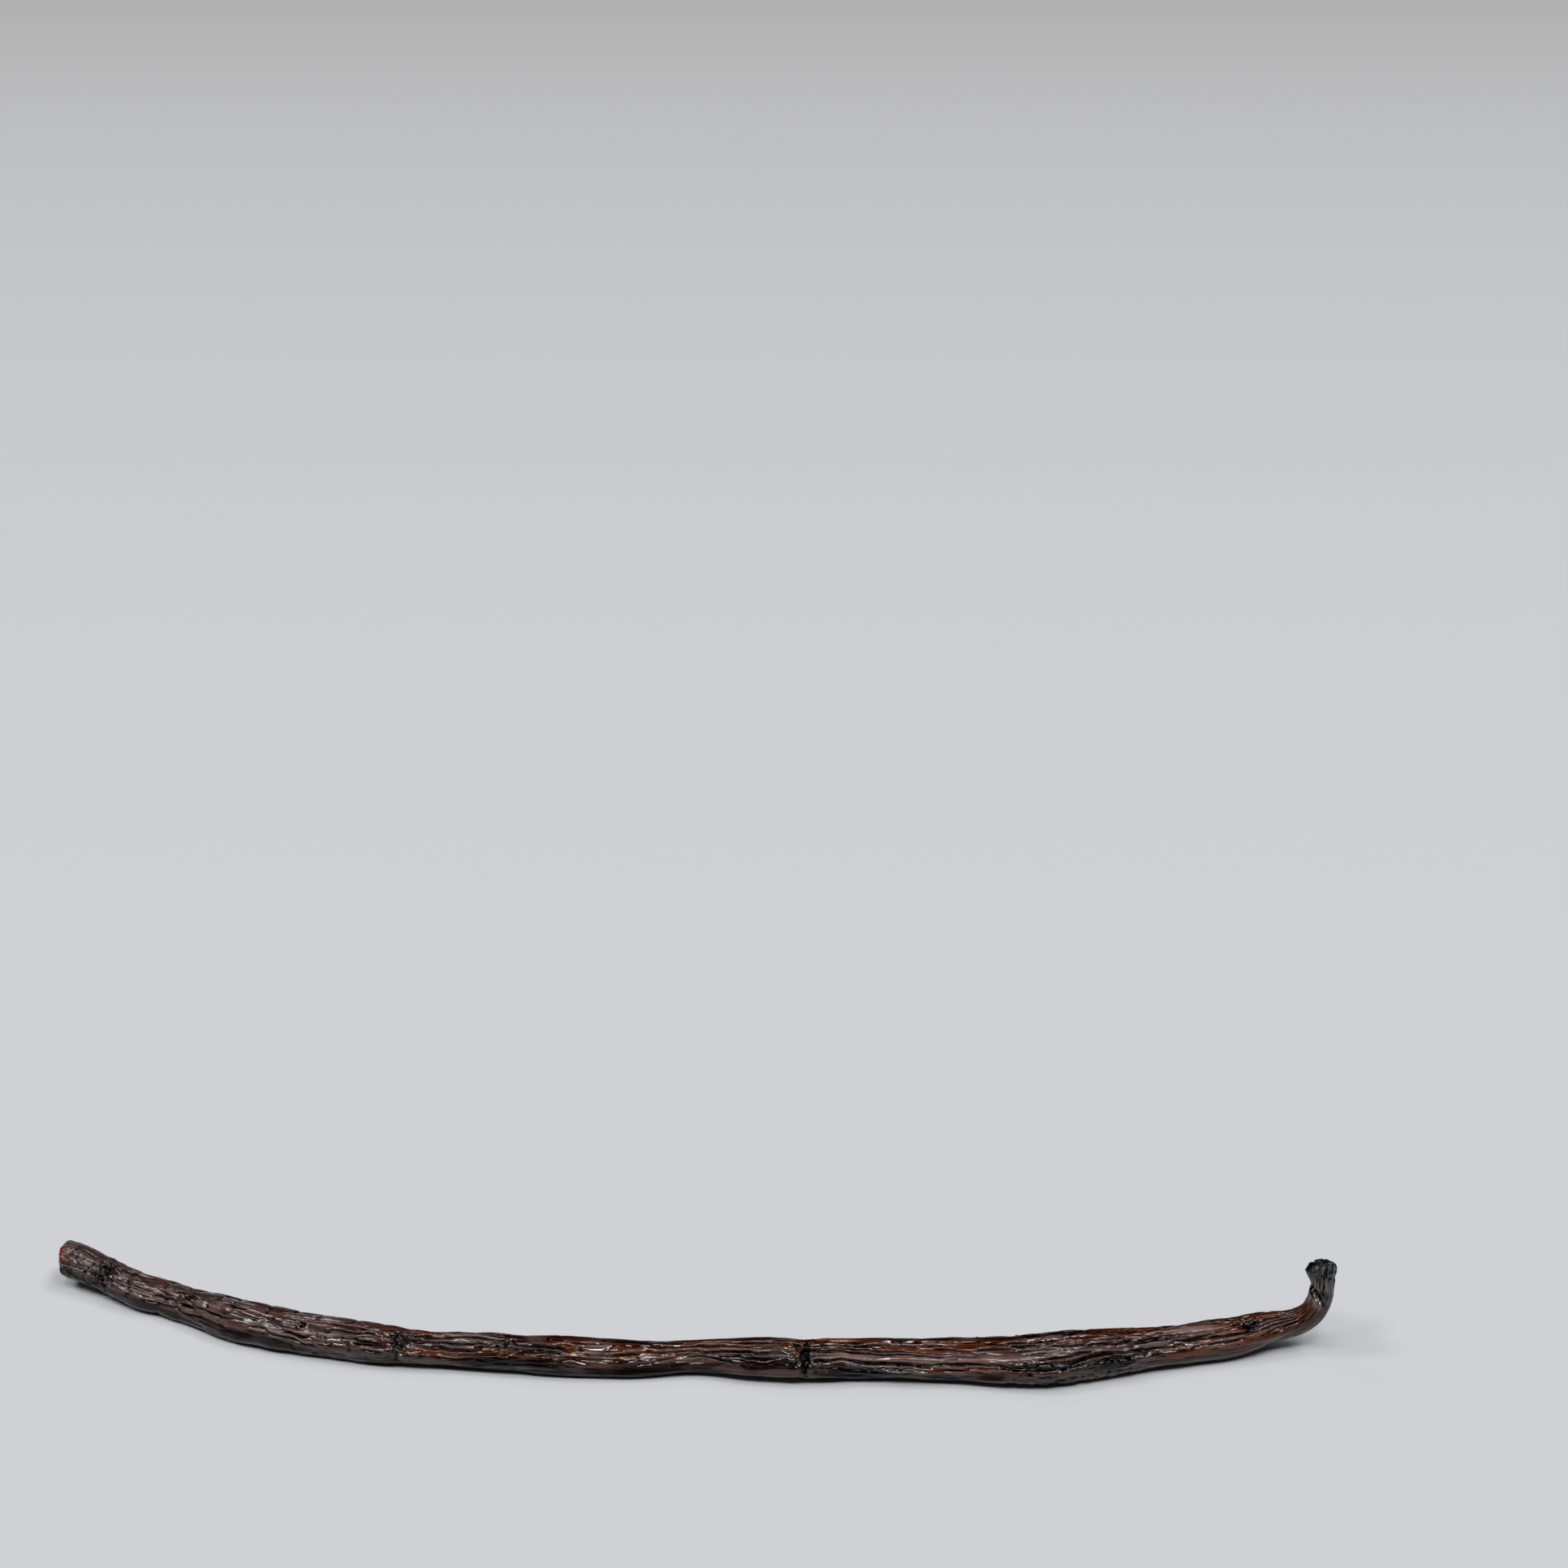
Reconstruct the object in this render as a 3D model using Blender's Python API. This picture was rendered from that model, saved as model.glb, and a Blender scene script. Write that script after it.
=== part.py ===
"""A cured vanilla pod lying on its side, as one solid.

The pod is long, soft and slightly flattened. It lies in a shallow arc, is drawn in at two pinches,
ends blunt at the blossom end, and narrows at the stalk end to a neck that turns up and carries a
small cap. +X runs along the pod towards the stalk, +Z is up, and the underside rests on Z = 0.
The sizes below are in millimetres, and the mesh is in metres.
"""

import math

import bmesh
import bpy
import numpy as np
from mathutils import Vector

METRES = 0.001

# Driving dimensions.
FLATNESS = 1.2  # a section's width over its height
SETTLE = 0.25  # how far the soft underside is pressed flat where the pod rests
AROUND = 28  # points round one section
STEP = 1.28  # distance from one section to the next
TIP_ROUND = 0.9  # length over which the blunt blossom end rounds off
TIP_DENT = 0.7  # depth of the scar in the middle of the blossom end
CAP_ROUND = 0.5  # length over which the stalk's cap rounds off
CAP_DISH = 0.6  # depth of the dish in the cap's end

# The lengthwise folds of the skin.
FOLDS = 7  # number of folds round the pod
FOLD_DEPTH = 0.11  # share of the radius from a fold's crown to its crease
FOLD_TWIST = 1.9  # radians that the folds turn from one end to the other
FOLD_SWAY = 0.22  # radians that they sway to and fro on the way
SWAY_LENGTH = 37.0  # length of one sway
CORNERS = 0.035  # how three-cornered a section is, as a share of its radius

# Where the skin is drawn in: x, share of the radius, and length.
PINCHES = (
    (-73.5, 0.10, 1.6),
    (-35.0, 0.13, 1.3),
    (15.5, 0.15, 1.5),
    (69.5, 0.10, 1.8),
)

# The body's centre line and size: x, y, clearance under the section, half width.
BODY = (
    (-82.3, 11.9, 1.95, 2.65),
    (-80.5, 11.6, 1.8, 2.65),
    (-77.3, 9.9, 1.3, 2.5),
    (-72.0, 6.7, 0.6, 2.6),
    (-66.0, 4.05, 0.2, 2.5),
    (-60.0, 0.6, 0.0, 2.87),
    (-56.0, -1.65, 0.0, 3.15),
    (-49.0, -4.0, 0.0, 2.97),
    (-41.0, -6.2, 0.2, 2.85),
    (-35.5, -7.55, 0.4, 2.75),
    (-30.5, -8.0, 0.4, 2.4),
    (-24.5, -8.7, 0.3, 2.65),
    (-14.0, -9.7, 0.1, 2.75),
    (-5.0, -9.9, 0.0, 2.55),
    (2.5, -9.6, 0.4, 2.3),
    (9.0, -10.6, 0.5, 2.75),
    (15.0, -11.0, 0.5, 3.05),
    (20.5, -10.7, 0.3, 2.85),
    (33.0, -10.9, 0.0, 3.05),
    (40.0, -11.5, 0.0, 3.4),
    (45.0, -11.6, 0.0, 3.7),
    (50.0, -10.4, 0.0, 3.5),
    (57.0, -8.55, 0.1, 3.05),
    (64.0, -6.9, 0.2, 2.87),
    (70.0, -5.6, 0.6, 2.8),
    (74.0, -4.5, 1.5, 2.2),
)

# The neck that turns up, and its cap: x, y, z, radius.
NECK = (
    (76.6, -4.4, 3.55, 1.65),
    (78.6, -4.8, 4.95, 1.55),
    (79.75, -5.0, 7.0, 1.5),
    (80.2, -4.6, 9.0, 1.5),
    (80.3, -4.2, 10.6, 1.6),
    (80.1, -3.6, 12.3, 2.05),
)


def clear_scene():
    for thing in list(bpy.data.objects):
        bpy.data.objects.remove(thing, do_unlink=True)


def centre_line_stations():
    """Rows of x, y, z, half width and half height, from the blossom end to the cap."""
    rows = []
    for x, y, clearance, half_width in BODY:
        half_height = half_width / FLATNESS
        rows.append((x, y, clearance + half_height - SETTLE, half_width, half_height))
    for x, y, z, radius in NECK:
        rows.append((x, y, z, radius, radius))
    return np.array(rows)


def smooth_through(rows, samples_per_span=12):
    """A smooth curve through every row, as closely spaced rows."""
    spans = np.linalg.norm(np.diff(rows[:, :3], axis=0), axis=1)
    reach = np.concatenate([[0.0], np.cumsum(spans)])
    slopes = np.gradient(rows, reach, axis=0)
    curve = []
    for i, span in enumerate(spans):
        for t in np.arange(samples_per_span) / samples_per_span:
            start = (2 * t**3 - 3 * t**2 + 1) * rows[i] + (t**3 - 2 * t**2 + t) * span * slopes[i]
            end = (3 * t**2 - 2 * t**3) * rows[i + 1] + (t**3 - t**2) * span * slopes[i + 1]
            curve.append(start + end)
    curve.append(rows[-1])
    return np.array(curve)


class CentreLine:
    """Looks up the pod's axis, its frame and its half sizes by the distance along it."""

    def __init__(self, rows):
        self.rows = rows
        steps = np.linalg.norm(np.diff(rows[:, :3], axis=0), axis=1)
        self.reach = np.concatenate([[0.0], np.cumsum(steps)])
        self.length = self.reach[-1]
        tangents = np.gradient(rows[:, :3], self.reach, axis=0)
        self.tangents = tangents / np.linalg.norm(tangents, axis=1)[:, None]
        self.ups = self.carried_up()

    def carried_up(self):
        """The section's up direction, carried along the line without twisting."""
        up = Vector((0.0, 0.0, 1.0))
        ups = []
        for tangent in self.tangents:
            along = Vector(tangent)
            up = (up - up.dot(along) * along).normalized()
            ups.append(up)
        return np.array(ups)

    def at(self, along):
        """Centre, side, up and tangent directions, half width and half height."""
        pick = [np.interp(along, self.reach, column) for column in self.rows.T]
        tangent = Vector(np.interp(along, self.reach, column) for column in self.tangents.T)
        up = Vector(np.interp(along, self.reach, column) for column in self.ups.T)
        tangent.normalize()
        side = up.cross(tangent).normalized()
        return Vector(pick[:3]), side, tangent.cross(side), tangent, pick[3], pick[4]


def skin_factor(angle, along, x, length):
    """How much the folds, the corners and the pinches change the radius there."""
    turn = FOLD_TWIST * along / length + FOLD_SWAY * math.sin(math.tau * along / SWAY_LENGTH)
    fold = abs(math.sin(FOLDS / 2 * (angle + turn)))
    factor = 1 + FOLD_DEPTH * (fold - 0.75) + CORNERS * math.cos(3 * angle + 2 * turn)
    for centre, share, reach in PINCHES:
        nearness = math.exp(-(((x - centre) / reach) ** 2))
        factor -= share * nearness * (0.5 + 0.5 * math.sin(angle))
    return factor


def section_rows(length):
    """(distance along, share of the full section) of each ring, with the ends rounded off."""
    quarter = [math.radians(degrees) for degrees in (14, 30, 48, 68)]
    tip = [(TIP_ROUND * (1 - math.cos(a)), math.sin(a) ** 0.7) for a in quarter]
    start, end = TIP_ROUND, length - CAP_ROUND
    count = round((end - start) / STEP)
    body = [(start + (end - start) * i / count, 1.0) for i in range(count + 1)]
    cap = [(length - CAP_ROUND * (1 - math.sin(a)), math.cos(a) ** 0.7) for a in quarter[1:3]]
    dish = [(length - CAP_DISH / 2, 0.42)]
    return tip + body + cap + dish


def skin_point(line, angle, along, share):
    """A point of the skin in millimetres, no lower than the surface the pod rests on."""
    centre, side, up, _, half_width, half_height = line.at(along)
    factor = share * skin_factor(angle, along, centre.x, line.length)
    point = centre
    point += side * half_width * factor * math.cos(angle)
    point += up * half_height * factor * math.sin(angle)
    point.z = max(point.z, 0.0)
    return point


def close_end(bm, edges, centre):
    """Closes the open ring of edges with a fan that meets at centre."""
    grown = bmesh.ops.extrude_edge_only(bm, edges=edges)["geom"]
    verts = [item for item in grown if isinstance(item, bmesh.types.BMVert)]
    bmesh.ops.pointmerge(bm, verts=verts, merge_co=centre)


def pod_mesh(line):
    bm = bmesh.new()
    turn_of = bm.verts.layers.float.new("turn")
    rows = section_rows(line.length)
    ring = bmesh.ops.create_circle(bm, segments=AROUND, radius=1.0)["verts"]
    for vert in ring:
        vert[turn_of] = math.atan2(vert.co.y, vert.co.x)
        vert.co = skin_point(line, vert[turn_of], *rows[0])
    first = edges = bm.edges[:]
    for along, share in rows[1:]:
        grown = bmesh.ops.extrude_edge_only(bm, edges=edges)["geom"]
        edges = [item for item in grown if isinstance(item, bmesh.types.BMEdge)]
        for item in grown:
            if isinstance(item, bmesh.types.BMVert):
                item.co = skin_point(line, item[turn_of], along, share)
    close_end(bm, edges, line.at(line.length - CAP_DISH)[0])
    close_end(bm, first, line.at(TIP_DENT)[0])
    bmesh.ops.scale(bm, vec=(METRES, METRES, METRES), verts=bm.verts)
    centre_over_origin(bm)
    bmesh.ops.triangulate(bm, faces=bm.faces)
    bmesh.ops.recalc_face_normals(bm, faces=bm.faces)
    mesh = bpy.data.meshes.new("pod")
    bm.to_mesh(mesh)
    bm.free()
    mesh.shade_smooth()
    return mesh


def centre_over_origin(bm):
    """Puts the middle of the pod's length and width over the origin."""
    places = np.array([vert.co for vert in bm.verts])
    middle = (places.min(axis=0) + places.max(axis=0)) / 2
    bmesh.ops.translate(bm, vec=(-middle[0], -middle[1], 0.0), verts=bm.verts)


def cured_skin():
    """Oily, almost black brown skin."""
    material = bpy.data.materials.new("cured skin")
    material.use_nodes = True
    shader = material.node_tree.nodes["Principled BSDF"]
    shader.inputs["Base Color"].default_value = (0.030, 0.015, 0.010, 1.0)
    shader.inputs["Roughness"].default_value = 0.35
    shader.inputs["Metallic"].default_value = 0.0
    return material


def build():
    clear_scene()
    line = CentreLine(smooth_through(centre_line_stations()))
    mesh = pod_mesh(line)
    mesh.materials.append(cured_skin())
    pod = bpy.data.objects.new("pod", mesh)
    bpy.context.scene.collection.objects.link(pod)
    print(f"pod: {line.length:.1f} mm along its centre line, {len(mesh.polygons)} triangles")


build()
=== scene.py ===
# %% [markdown]
# # A cured vanilla pod
# A vanilla pod is the fruit of an orchid. Curing turns it from a firm green bean into a soft, oily,
# almost black one: its skin shrinks round the seeds into long folds, and pinches into stars where
# the pod was bent. The pod has no parts to put together, so all the work is in its skin. This
# lesson grows that skin ring by ring round the solid that gives the pod its size, folds it with
# noise and with furrows placed one by one, and finishes it with an oily brown surface.

import math

import bmesh
import bpy
import numpy as np
from mathutils import Matrix, Vector, noise
from mathutils.bvhtree import BVHTree


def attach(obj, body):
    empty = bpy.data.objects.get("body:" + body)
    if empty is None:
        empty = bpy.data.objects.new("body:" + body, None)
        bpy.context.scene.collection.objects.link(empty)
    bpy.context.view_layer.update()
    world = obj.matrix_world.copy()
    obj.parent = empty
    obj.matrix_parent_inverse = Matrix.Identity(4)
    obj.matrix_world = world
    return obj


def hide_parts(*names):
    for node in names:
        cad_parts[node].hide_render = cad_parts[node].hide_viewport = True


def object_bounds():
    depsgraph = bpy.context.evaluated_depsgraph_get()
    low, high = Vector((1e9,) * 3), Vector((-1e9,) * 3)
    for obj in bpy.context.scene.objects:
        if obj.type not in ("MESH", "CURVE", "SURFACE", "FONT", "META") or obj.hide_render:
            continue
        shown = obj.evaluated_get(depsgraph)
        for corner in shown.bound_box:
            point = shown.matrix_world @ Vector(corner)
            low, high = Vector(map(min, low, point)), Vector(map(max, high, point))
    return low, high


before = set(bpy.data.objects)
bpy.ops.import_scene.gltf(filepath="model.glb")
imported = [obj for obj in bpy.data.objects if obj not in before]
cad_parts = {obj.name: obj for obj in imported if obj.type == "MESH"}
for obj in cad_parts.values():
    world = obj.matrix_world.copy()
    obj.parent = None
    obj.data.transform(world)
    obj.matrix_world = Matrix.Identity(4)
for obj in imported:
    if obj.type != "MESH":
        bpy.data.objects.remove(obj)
cad_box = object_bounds()
MM = 0.001
low, high = cad_box
print("solid:", [round(side / MM, 1) for side in high - low], "mm")

# %% [markdown]
# ## Following the pod
# The skin needs the pod's centre line, and the solid already holds it. The line could be typed in
# again as a list of points, but then the two could drift apart. Instead a small walker starts
# inside the blossom end and steps towards the stalk. At each step it sends out rays to the skin
# on all sides and moves to the middle of what it hits, as one feels the way down a tunnel.

# %% Walk along the inside of the solid
WALK_STEP = 0.5 * MM
RAYS = 64
# The middle of a round section is twice as far off as the mean of its rays. This steps towards it.
CENTRING = 1.5
START_DEPTH = 1.8 * MM
STOP_GAP = 1.0 * MM

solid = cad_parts["pod"].data
corners = np.array([vert.co for vert in solid.vertices])
surface = BVHTree.FromPolygons([v.co for v in solid.vertices], [p.vertices for p in solid.polygons])
ray_angles = [math.tau * k / RAYS for k in range(RAYS)]


def reach_round(centre, side, up):
    """How far the skin is from centre, all the way round, starting at side and turning to up."""
    rays = [side * math.cos(angle) + up * math.sin(angle) for angle in ray_angles]
    return [surface.ray_cast(centre, ray)[3] for ray in rays], rays


def walk(centre, tangent):
    """Centres of the solid's sections from near the blossom end to near the cap."""
    up, path = Vector((0, 0, 1)), []
    while surface.ray_cast(centre, tangent)[3] > STOP_GAP:
        up = (up - up.dot(tangent) * tangent).normalized()
        for _ in range(2):
            reach, rays = reach_round(centre, up.cross(tangent), up)
            off_centre = sum((ray * far for ray, far in zip(rays, reach)), Vector()) / RAYS
            centre = centre + off_centre * CENTRING
        path.append(centre)
        if len(path) > 3:
            tangent = (path[-1] - path[-4]).normalized()
        centre = centre + tangent * WALK_STEP
    return path


end_face = corners[corners[:, 0] < low.x + START_DEPTH]
start = Vector((low.x + START_DEPTH, *end_face.mean(axis=0)[1:]))
path = walk(start, Vector((1, 0, 0)))
print(f"walked {len(path)} steps from {start.x / MM:.1f} mm to {path[-1].x / MM:.1f} mm")

# %% [markdown]
# ## The centre line
# The walked path carries small steps from the solid's flat facets, so it is smoothed, and then
# lengthened at both ends to where the solid really stops. Each section also needs an up
# direction. Carrying the last one forward, and only leaning it to stay square to the line, keeps
# the skin from twisting where the neck turns up.

# %% Smooth the path and give it a frame
LINE_STEP = 0.25 * MM
SMOOTHING = 9


def smoothed(rows, width):
    """Running mean over an odd number of rows, with the ends carried on in a straight line."""
    half = width // 2
    before = 2 * rows[0] - rows[half:0:-1]
    after = 2 * rows[-1] - rows[-2 : -half - 2 : -1]
    padded = np.concatenate([before, rows, after])
    return np.mean([padded[i : i + len(rows)] for i in range(width)], axis=0)


def lengthened(rows):
    """The line carried on at both ends, as far as the solid reaches."""
    tail = (rows[0] - rows[2]) / np.linalg.norm(rows[0] - rows[2])
    head = (rows[-1] - rows[-3]) / np.linalg.norm(rows[-1] - rows[-3])
    first = rows[0] + tail * (low.x - rows[0][0]) / tail[0]
    last = rows[-1] + head * ((corners - rows[-1]) @ head).max()
    return np.concatenate([[first], rows, [last]])


def evenly(rows, step):
    """The same line as points that are step apart."""
    reach = np.concatenate([[0], np.cumsum(np.linalg.norm(np.diff(rows, axis=0), axis=1))])
    wanted = np.linspace(0, reach[-1], round(reach[-1] / step) + 1)
    return wanted, np.stack([np.interp(wanted, reach, column) for column in rows.T], axis=1)


reach, line = evenly(lengthened(smoothed(smoothed(np.array(path), SMOOTHING), 5)), LINE_STEP)
tangents = np.gradient(line, reach, axis=0)
tangents /= np.linalg.norm(tangents, axis=1)[:, None]
ups = []
for tangent in tangents:
    up = ups[-1] if ups else np.array([0.0, 0.0, 1.0])
    up = up - (up @ tangent) * tangent
    ups.append(up / np.linalg.norm(up))
ups = np.array(ups)
LENGTH = reach[-1] / MM
print(f"the pod is {LENGTH:.1f} mm long along its centre line")

# %% [markdown]
# ## The plain section
# Round every point of the line the rays are sent out once more, now exactly square to it. A
# Fourier series keeps only the slow changes round the section, which are its flattened, slightly
# cornered shape. The sharp folds are left out, because the fine skin brings its own.

# %% Measure the sections and keep their slow shape
TIP_ROUND = 0.9
CAP_ROUND = 0.6
HARMONICS = 4


def measured_section(distance):
    """The slow shape of the section at a distance along the line in mm, as Fourier terms."""
    k = int(np.clip(distance * MM / LINE_STEP, 0, len(line) - 1))
    tangent, up = Vector(tangents[k]), Vector(ups[k])
    far, _ = reach_round(Vector(line[k]), up.cross(tangent), up)
    return np.fft.rfft(far)[: HARMONICS + 1] / RAYS / MM


marks = np.arange(TIP_ROUND + 1.0, LENGTH - CAP_ROUND - 0.3, 0.8)
terms = smoothed(np.array([measured_section(mark) for mark in marks]), 3)
print(f"{len(marks)} sections, mean radius {terms[:, 0].real.mean():.2f} mm")

# %% [markdown]
# ## A grid over the skin
# The skin is a grid: rings along the pod, spokes round it. Rings lie closer together where the
# skin is crumpled and at both ends, and spokes on the side that is seen, so that the small shapes
# there have enough points.

# %% Lay out the rings and spokes
SPOKES = 164
SEEN_TURN = math.radians(140)
SPOKE_CROWDING = 0.35
RINGS = 604
FACE_RINGS = 12
RIM_RINGS = 8
# The x, the turn and the size of each place where the pod was bent.
PINCHES = ((-75.1, 145, 1.6), (-34.8, 136, 1.3), (15.3, 150, 1.6), (70.9, 120, 1.2))
NECK_START = 76
# In this share of the line, counted from the blossom end, x grows all the way.
BODY_SHARE = 0.93


def along_at(x):
    """Distance along the pod in mm of the place at x. In the upturned neck x counts on along it."""
    body = slice(0, int(BODY_SHARE * len(line)))
    place = np.interp(min(x, NECK_START), line[body, 0] / MM, reach[body] / MM)
    return float(place) + max(x - NECK_START, 0)


def bell(value):
    """1 where value is 0, fading to 0 on both sides."""
    return np.exp(-(value**2))


def ring_places():
    """Distances along the pod in mm: closer near the pinches, at one crumpled place and at the ends."""
    steps = np.linspace(TIP_ROUND, LENGTH - CAP_ROUND, 4000)
    crowds = [(along_at(x), 0.7, 2.2) for x, _, _ in PINCHES]
    crowds += [(along_at(46), 0.5, 6), (LENGTH, 0.9, 7), (0, 0.7, 5)]
    crowding = 1 + sum(extra * bell((steps - place) / width) for place, extra, width in crowds)
    share = np.cumsum(crowding)
    count = RINGS - 2 * FACE_RINGS
    return np.interp(np.linspace(share[0], share[-1], count), share, steps)


def end_rings(depth, rim, dish):
    """(distance in from the end, share of the section) from the middle of an end to its rim."""
    flat = np.linspace(0.1, 1 - rim, FACE_RINGS - RIM_RINGS, endpoint=False)
    turns = np.radians(np.linspace(0, 80, RIM_RINGS))
    shares = np.concatenate([flat, 1 - rim + rim * np.sin(turns)])
    depths = np.concatenate([np.zeros(len(flat)), depth * (1 - np.cos(turns))])
    return depths + dish * bell(shares / 0.5), shares


tip_depths, tip_shares = end_rings(TIP_ROUND, 0.28, 0.35)
cap_depths, cap_shares = end_rings(CAP_ROUND, 0.35, 0.45)
body_places = ring_places()
along = np.concatenate([tip_depths, body_places, LENGTH - cap_depths[::-1]])
share = np.concatenate([tip_shares, np.ones(len(body_places)), cap_shares[::-1]])
even_turns = np.linspace(0, math.tau, SPOKES, endpoint=False)
angle = even_turns - SPOKE_CROWDING * np.sin(even_turns - SEEN_TURN)
ALONG, ANGLE = np.meshgrid(along, angle, indexing="ij")
DEGREES = np.degrees(ANGLE)
SHARE = share[:, None]
print(f"{len(along)} rings of {SPOKES} spokes; the neck starts at {along_at(NECK_START):.1f} mm")

# %% [markdown]
# ## Tools for folding
# Noise that is stretched along the pod gives long wrinkles. Reading it on a circle, from the
# cosine and sine of the angle, lets it meet itself without a seam. Shrunken skin is a bundle of
# long cells, each parted from the next by a crease, and a stretched cell pattern draws them: its
# creases are where the two nearest cell centres are equally far away. A place on the skin is
# given as its x in millimetres and its turn round the pod in degrees: 0 is the far side, 90 the
# top and 180 the near side.

# %% Noise and cells on the skin
# Both are close to the pod's own radius, so that lumps come out as long as they are wide.
NOISE_RADIUS = 2.6
CELL_RADIUS = 2.8
CREASE_WIDTH = 0.16

middle = np.clip(along, TIP_ROUND + 1.0, LENGTH - CAP_ROUND - 0.5)
slow = np.stack([np.interp(middle, marks, column) for column in terms.T], axis=1)
waves = np.exp(1j * np.outer(np.arange(HARMONICS + 1), angle))
weights = np.where(np.arange(HARMONICS + 1) == 0, 1, 2)
RADIUS = (slow * weights @ waves).real


def wound(around, length, seed, angle, along):
    """All points' places in noise space, with around as its radius there and length one wave's."""
    x = np.cos(angle) * around + 17.3 * seed
    y = np.sin(angle) * around - 9.1 * seed
    z = along / length + 3.7 * seed
    return zip(x.flat, y.flat, z.flat)


def skin_noise(around, length, seed, angle=ANGLE, along=ALONG):
    """Smooth noise on the skin."""
    values = [noise.noise(place) for place in wound(around, length, seed, angle, along)]
    return np.array(values).reshape(angle.shape)


def crumple_noise(size, seed):
    """Noise with lumps of the same size in mm both ways."""
    return skin_noise(NOISE_RADIUS / size, size, seed)


def cells(width, length, seed, angle, along):
    """Cells of a size in mm: 0 on the creases rising to 1 inside, and each cell's own 0 to 1."""
    inside, own = [], []
    for place in wound(CELL_RADIUS / width, length, seed, angle, along):
        distances, centres = noise.voronoi(place)
        inside.append(distances[1] - distances[0])
        own.append(noise.cell(centres[0]))
    inside = 1 - np.exp(-np.array(inside).reshape(angle.shape) / CREASE_WIDTH)
    return inside, np.array(own).reshape(angle.shape)


def pleat(waves, width):
    """0 in the crease where waves passes through zero, rising to 1 on the fold's crown."""
    return 1 - np.exp(-np.abs(waves) / width)


print(f"radius from {RADIUS.min():.2f} to {RADIUS.max():.2f} mm")

# %% Soft steps and places on the skin
wobble_along = 0.32 * crumple_noise(2.4, 31) + 0.14 * crumple_noise(0.9, 33)
wobble_round = 0.24 * crumple_noise(2.4, 32) + 0.12 * crumple_noise(0.9, 34)


def soft_step(value, start, end):
    """0 at start and before it, 1 at end and past it."""
    t = np.clip((value - start) / (end - start), 0, 1)
    return t * t * (3 - 2 * t)


def past(x0, x1):
    """0 on the blossom side of x0, 1 on the stalk side of x1."""
    return soft_step(along, along_at(x0), along_at(x1))[:, None]


def turn_between(angle, centre):
    """The turn from centre to angle in degrees, between -180 and 180."""
    return (angle - centre + 180) % 360 - 180


def facing(turn, width):
    """1 on the side at turn, fading round the pod over width degrees."""
    return bell(turn_between(DEGREES, turn) / width)


def from_place(x, turn):
    """How far each point of the skin is from (x, turn), along the pod and round it, in mm."""
    forward = ALONG - along_at(x) + wobble_along
    across = np.radians(turn_between(DEGREES, turn)) * RADIUS + wobble_round
    return forward, across


def ovals(places):
    """1 in the middle of soft ovals, 0 outside. Each is (x, turn, half length, half width)."""
    field = np.zeros(ANGLE.shape)
    for x, turn, length, width in places:
        forward, across = from_place(x, turn)
        field = np.maximum(field, np.exp(-((forward / length) ** 2 + (across / width) ** 2) ** 1.5))
    return field


def traced(stroke):
    """How far the skin is from a stroke x, turn, x, turn... in mm, and the stroke's strength there."""
    points = list(zip(stroke[::2], stroke[1::2]))
    nearest = np.full(ANGLE.shape, np.inf)
    progress = np.zeros(ANGLE.shape)
    for k, ((x0, turn0), (x1, turn1)) in enumerate(zip(points, points[1:])):
        forward, across = from_place(x0, turn0)
        run, rise = along_at(x1) - along_at(x0), np.radians(turn1 - turn0) * RADIUS
        t = np.clip((forward * run + across * rise) / (run**2 + rise**2), 0, 1)
        away = np.hypot(forward - t * run, across - t * rise)
        closer = away < nearest
        nearest = np.where(closer, away, nearest)
        progress = np.where(closer, (k + t) / (len(points) - 1), progress)
    return nearest, np.sqrt(np.sin(np.pi * np.clip(progress, 0.02, 0.98)))


def drawn(strokes):
    """Reads rows of depth and width in hundredths of a mm, and a stroke. Gives mm, and its trace."""
    for depth, width, *stroke in strokes:
        yield depth / 100, width / 100, *traced(stroke)


print(f"strokes and ovals stray by up to {np.abs(wobble_along).max():.1f} mm, so none is straight")

# %% [markdown]
# ## Long folds
# Broad soft pleats carry two sizes of cells: strands about a millimetre wide, and finer ones on
# them. They sway along the pod, so that they split and join. Towards the blossom end the skin has
# aged into wider plates instead, and in the middle it is sleeker. One long shoulder, given by
# its turn at each x, runs along the near side. The skin under it is nearly smooth, because the
# pod was pressed there while it was soft, and only fine crumple lines cross it. A few other
# places, all of them soft ovals, were pressed smooth too.

# %% Where the skin is smooth, and where it is crumpled
SHOULDER = (
    (-80, 172), (-74, 168), (-68, 166), (-61, 168), (-56, 166), (-52, 165), (-48, 170), (-44, 182),
    (-38, 184), (-24, 188), (-16, 185), (-10, 172), (-7, 156), (-2, 152), (4, 134), (12, 138), (18, 176),
    (24, 180), (30, 182), (38, 172), (46, 182), (54, 184), (58, 166), (64, 162), (70, 166), (76, 176),
)
PRESSED = (
    (-58.3, 108, 0.9, 0.5), (-18.2, 98, 1.6, 0.7), (-10.2, 120, 2, 1.5), (19.7, 159, 2.2, 0.5),
    (20, 145, 4, 0.7), (24, 146, 4, 0.7), (29, 148, 4.5, 0.8), (35, 147, 4.5, 0.8), (40, 148, 3, 0.7),
    (58, 138, 2.5, 0.45), (64.5, 98, 3, 1.3), (74, 128, 1.5, 0.6), (83.2, 150, 1.1, 2.4),
)
CRUMPLED = (
    (-75.1, 145, 2.2, 2), (-62, 120, 2, 0.8), (-34.6, 140, 2.4, 3), (-22, 118, 1, 2),
    (15.3, 150, 1.9, 3.5), (45.5, 165, 5, 0.9), (53, 178, 2.5, 1.2), (62.7, 152, 2.2, 0.5),
    (71, 118, 2, 1.6),
)

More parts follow.
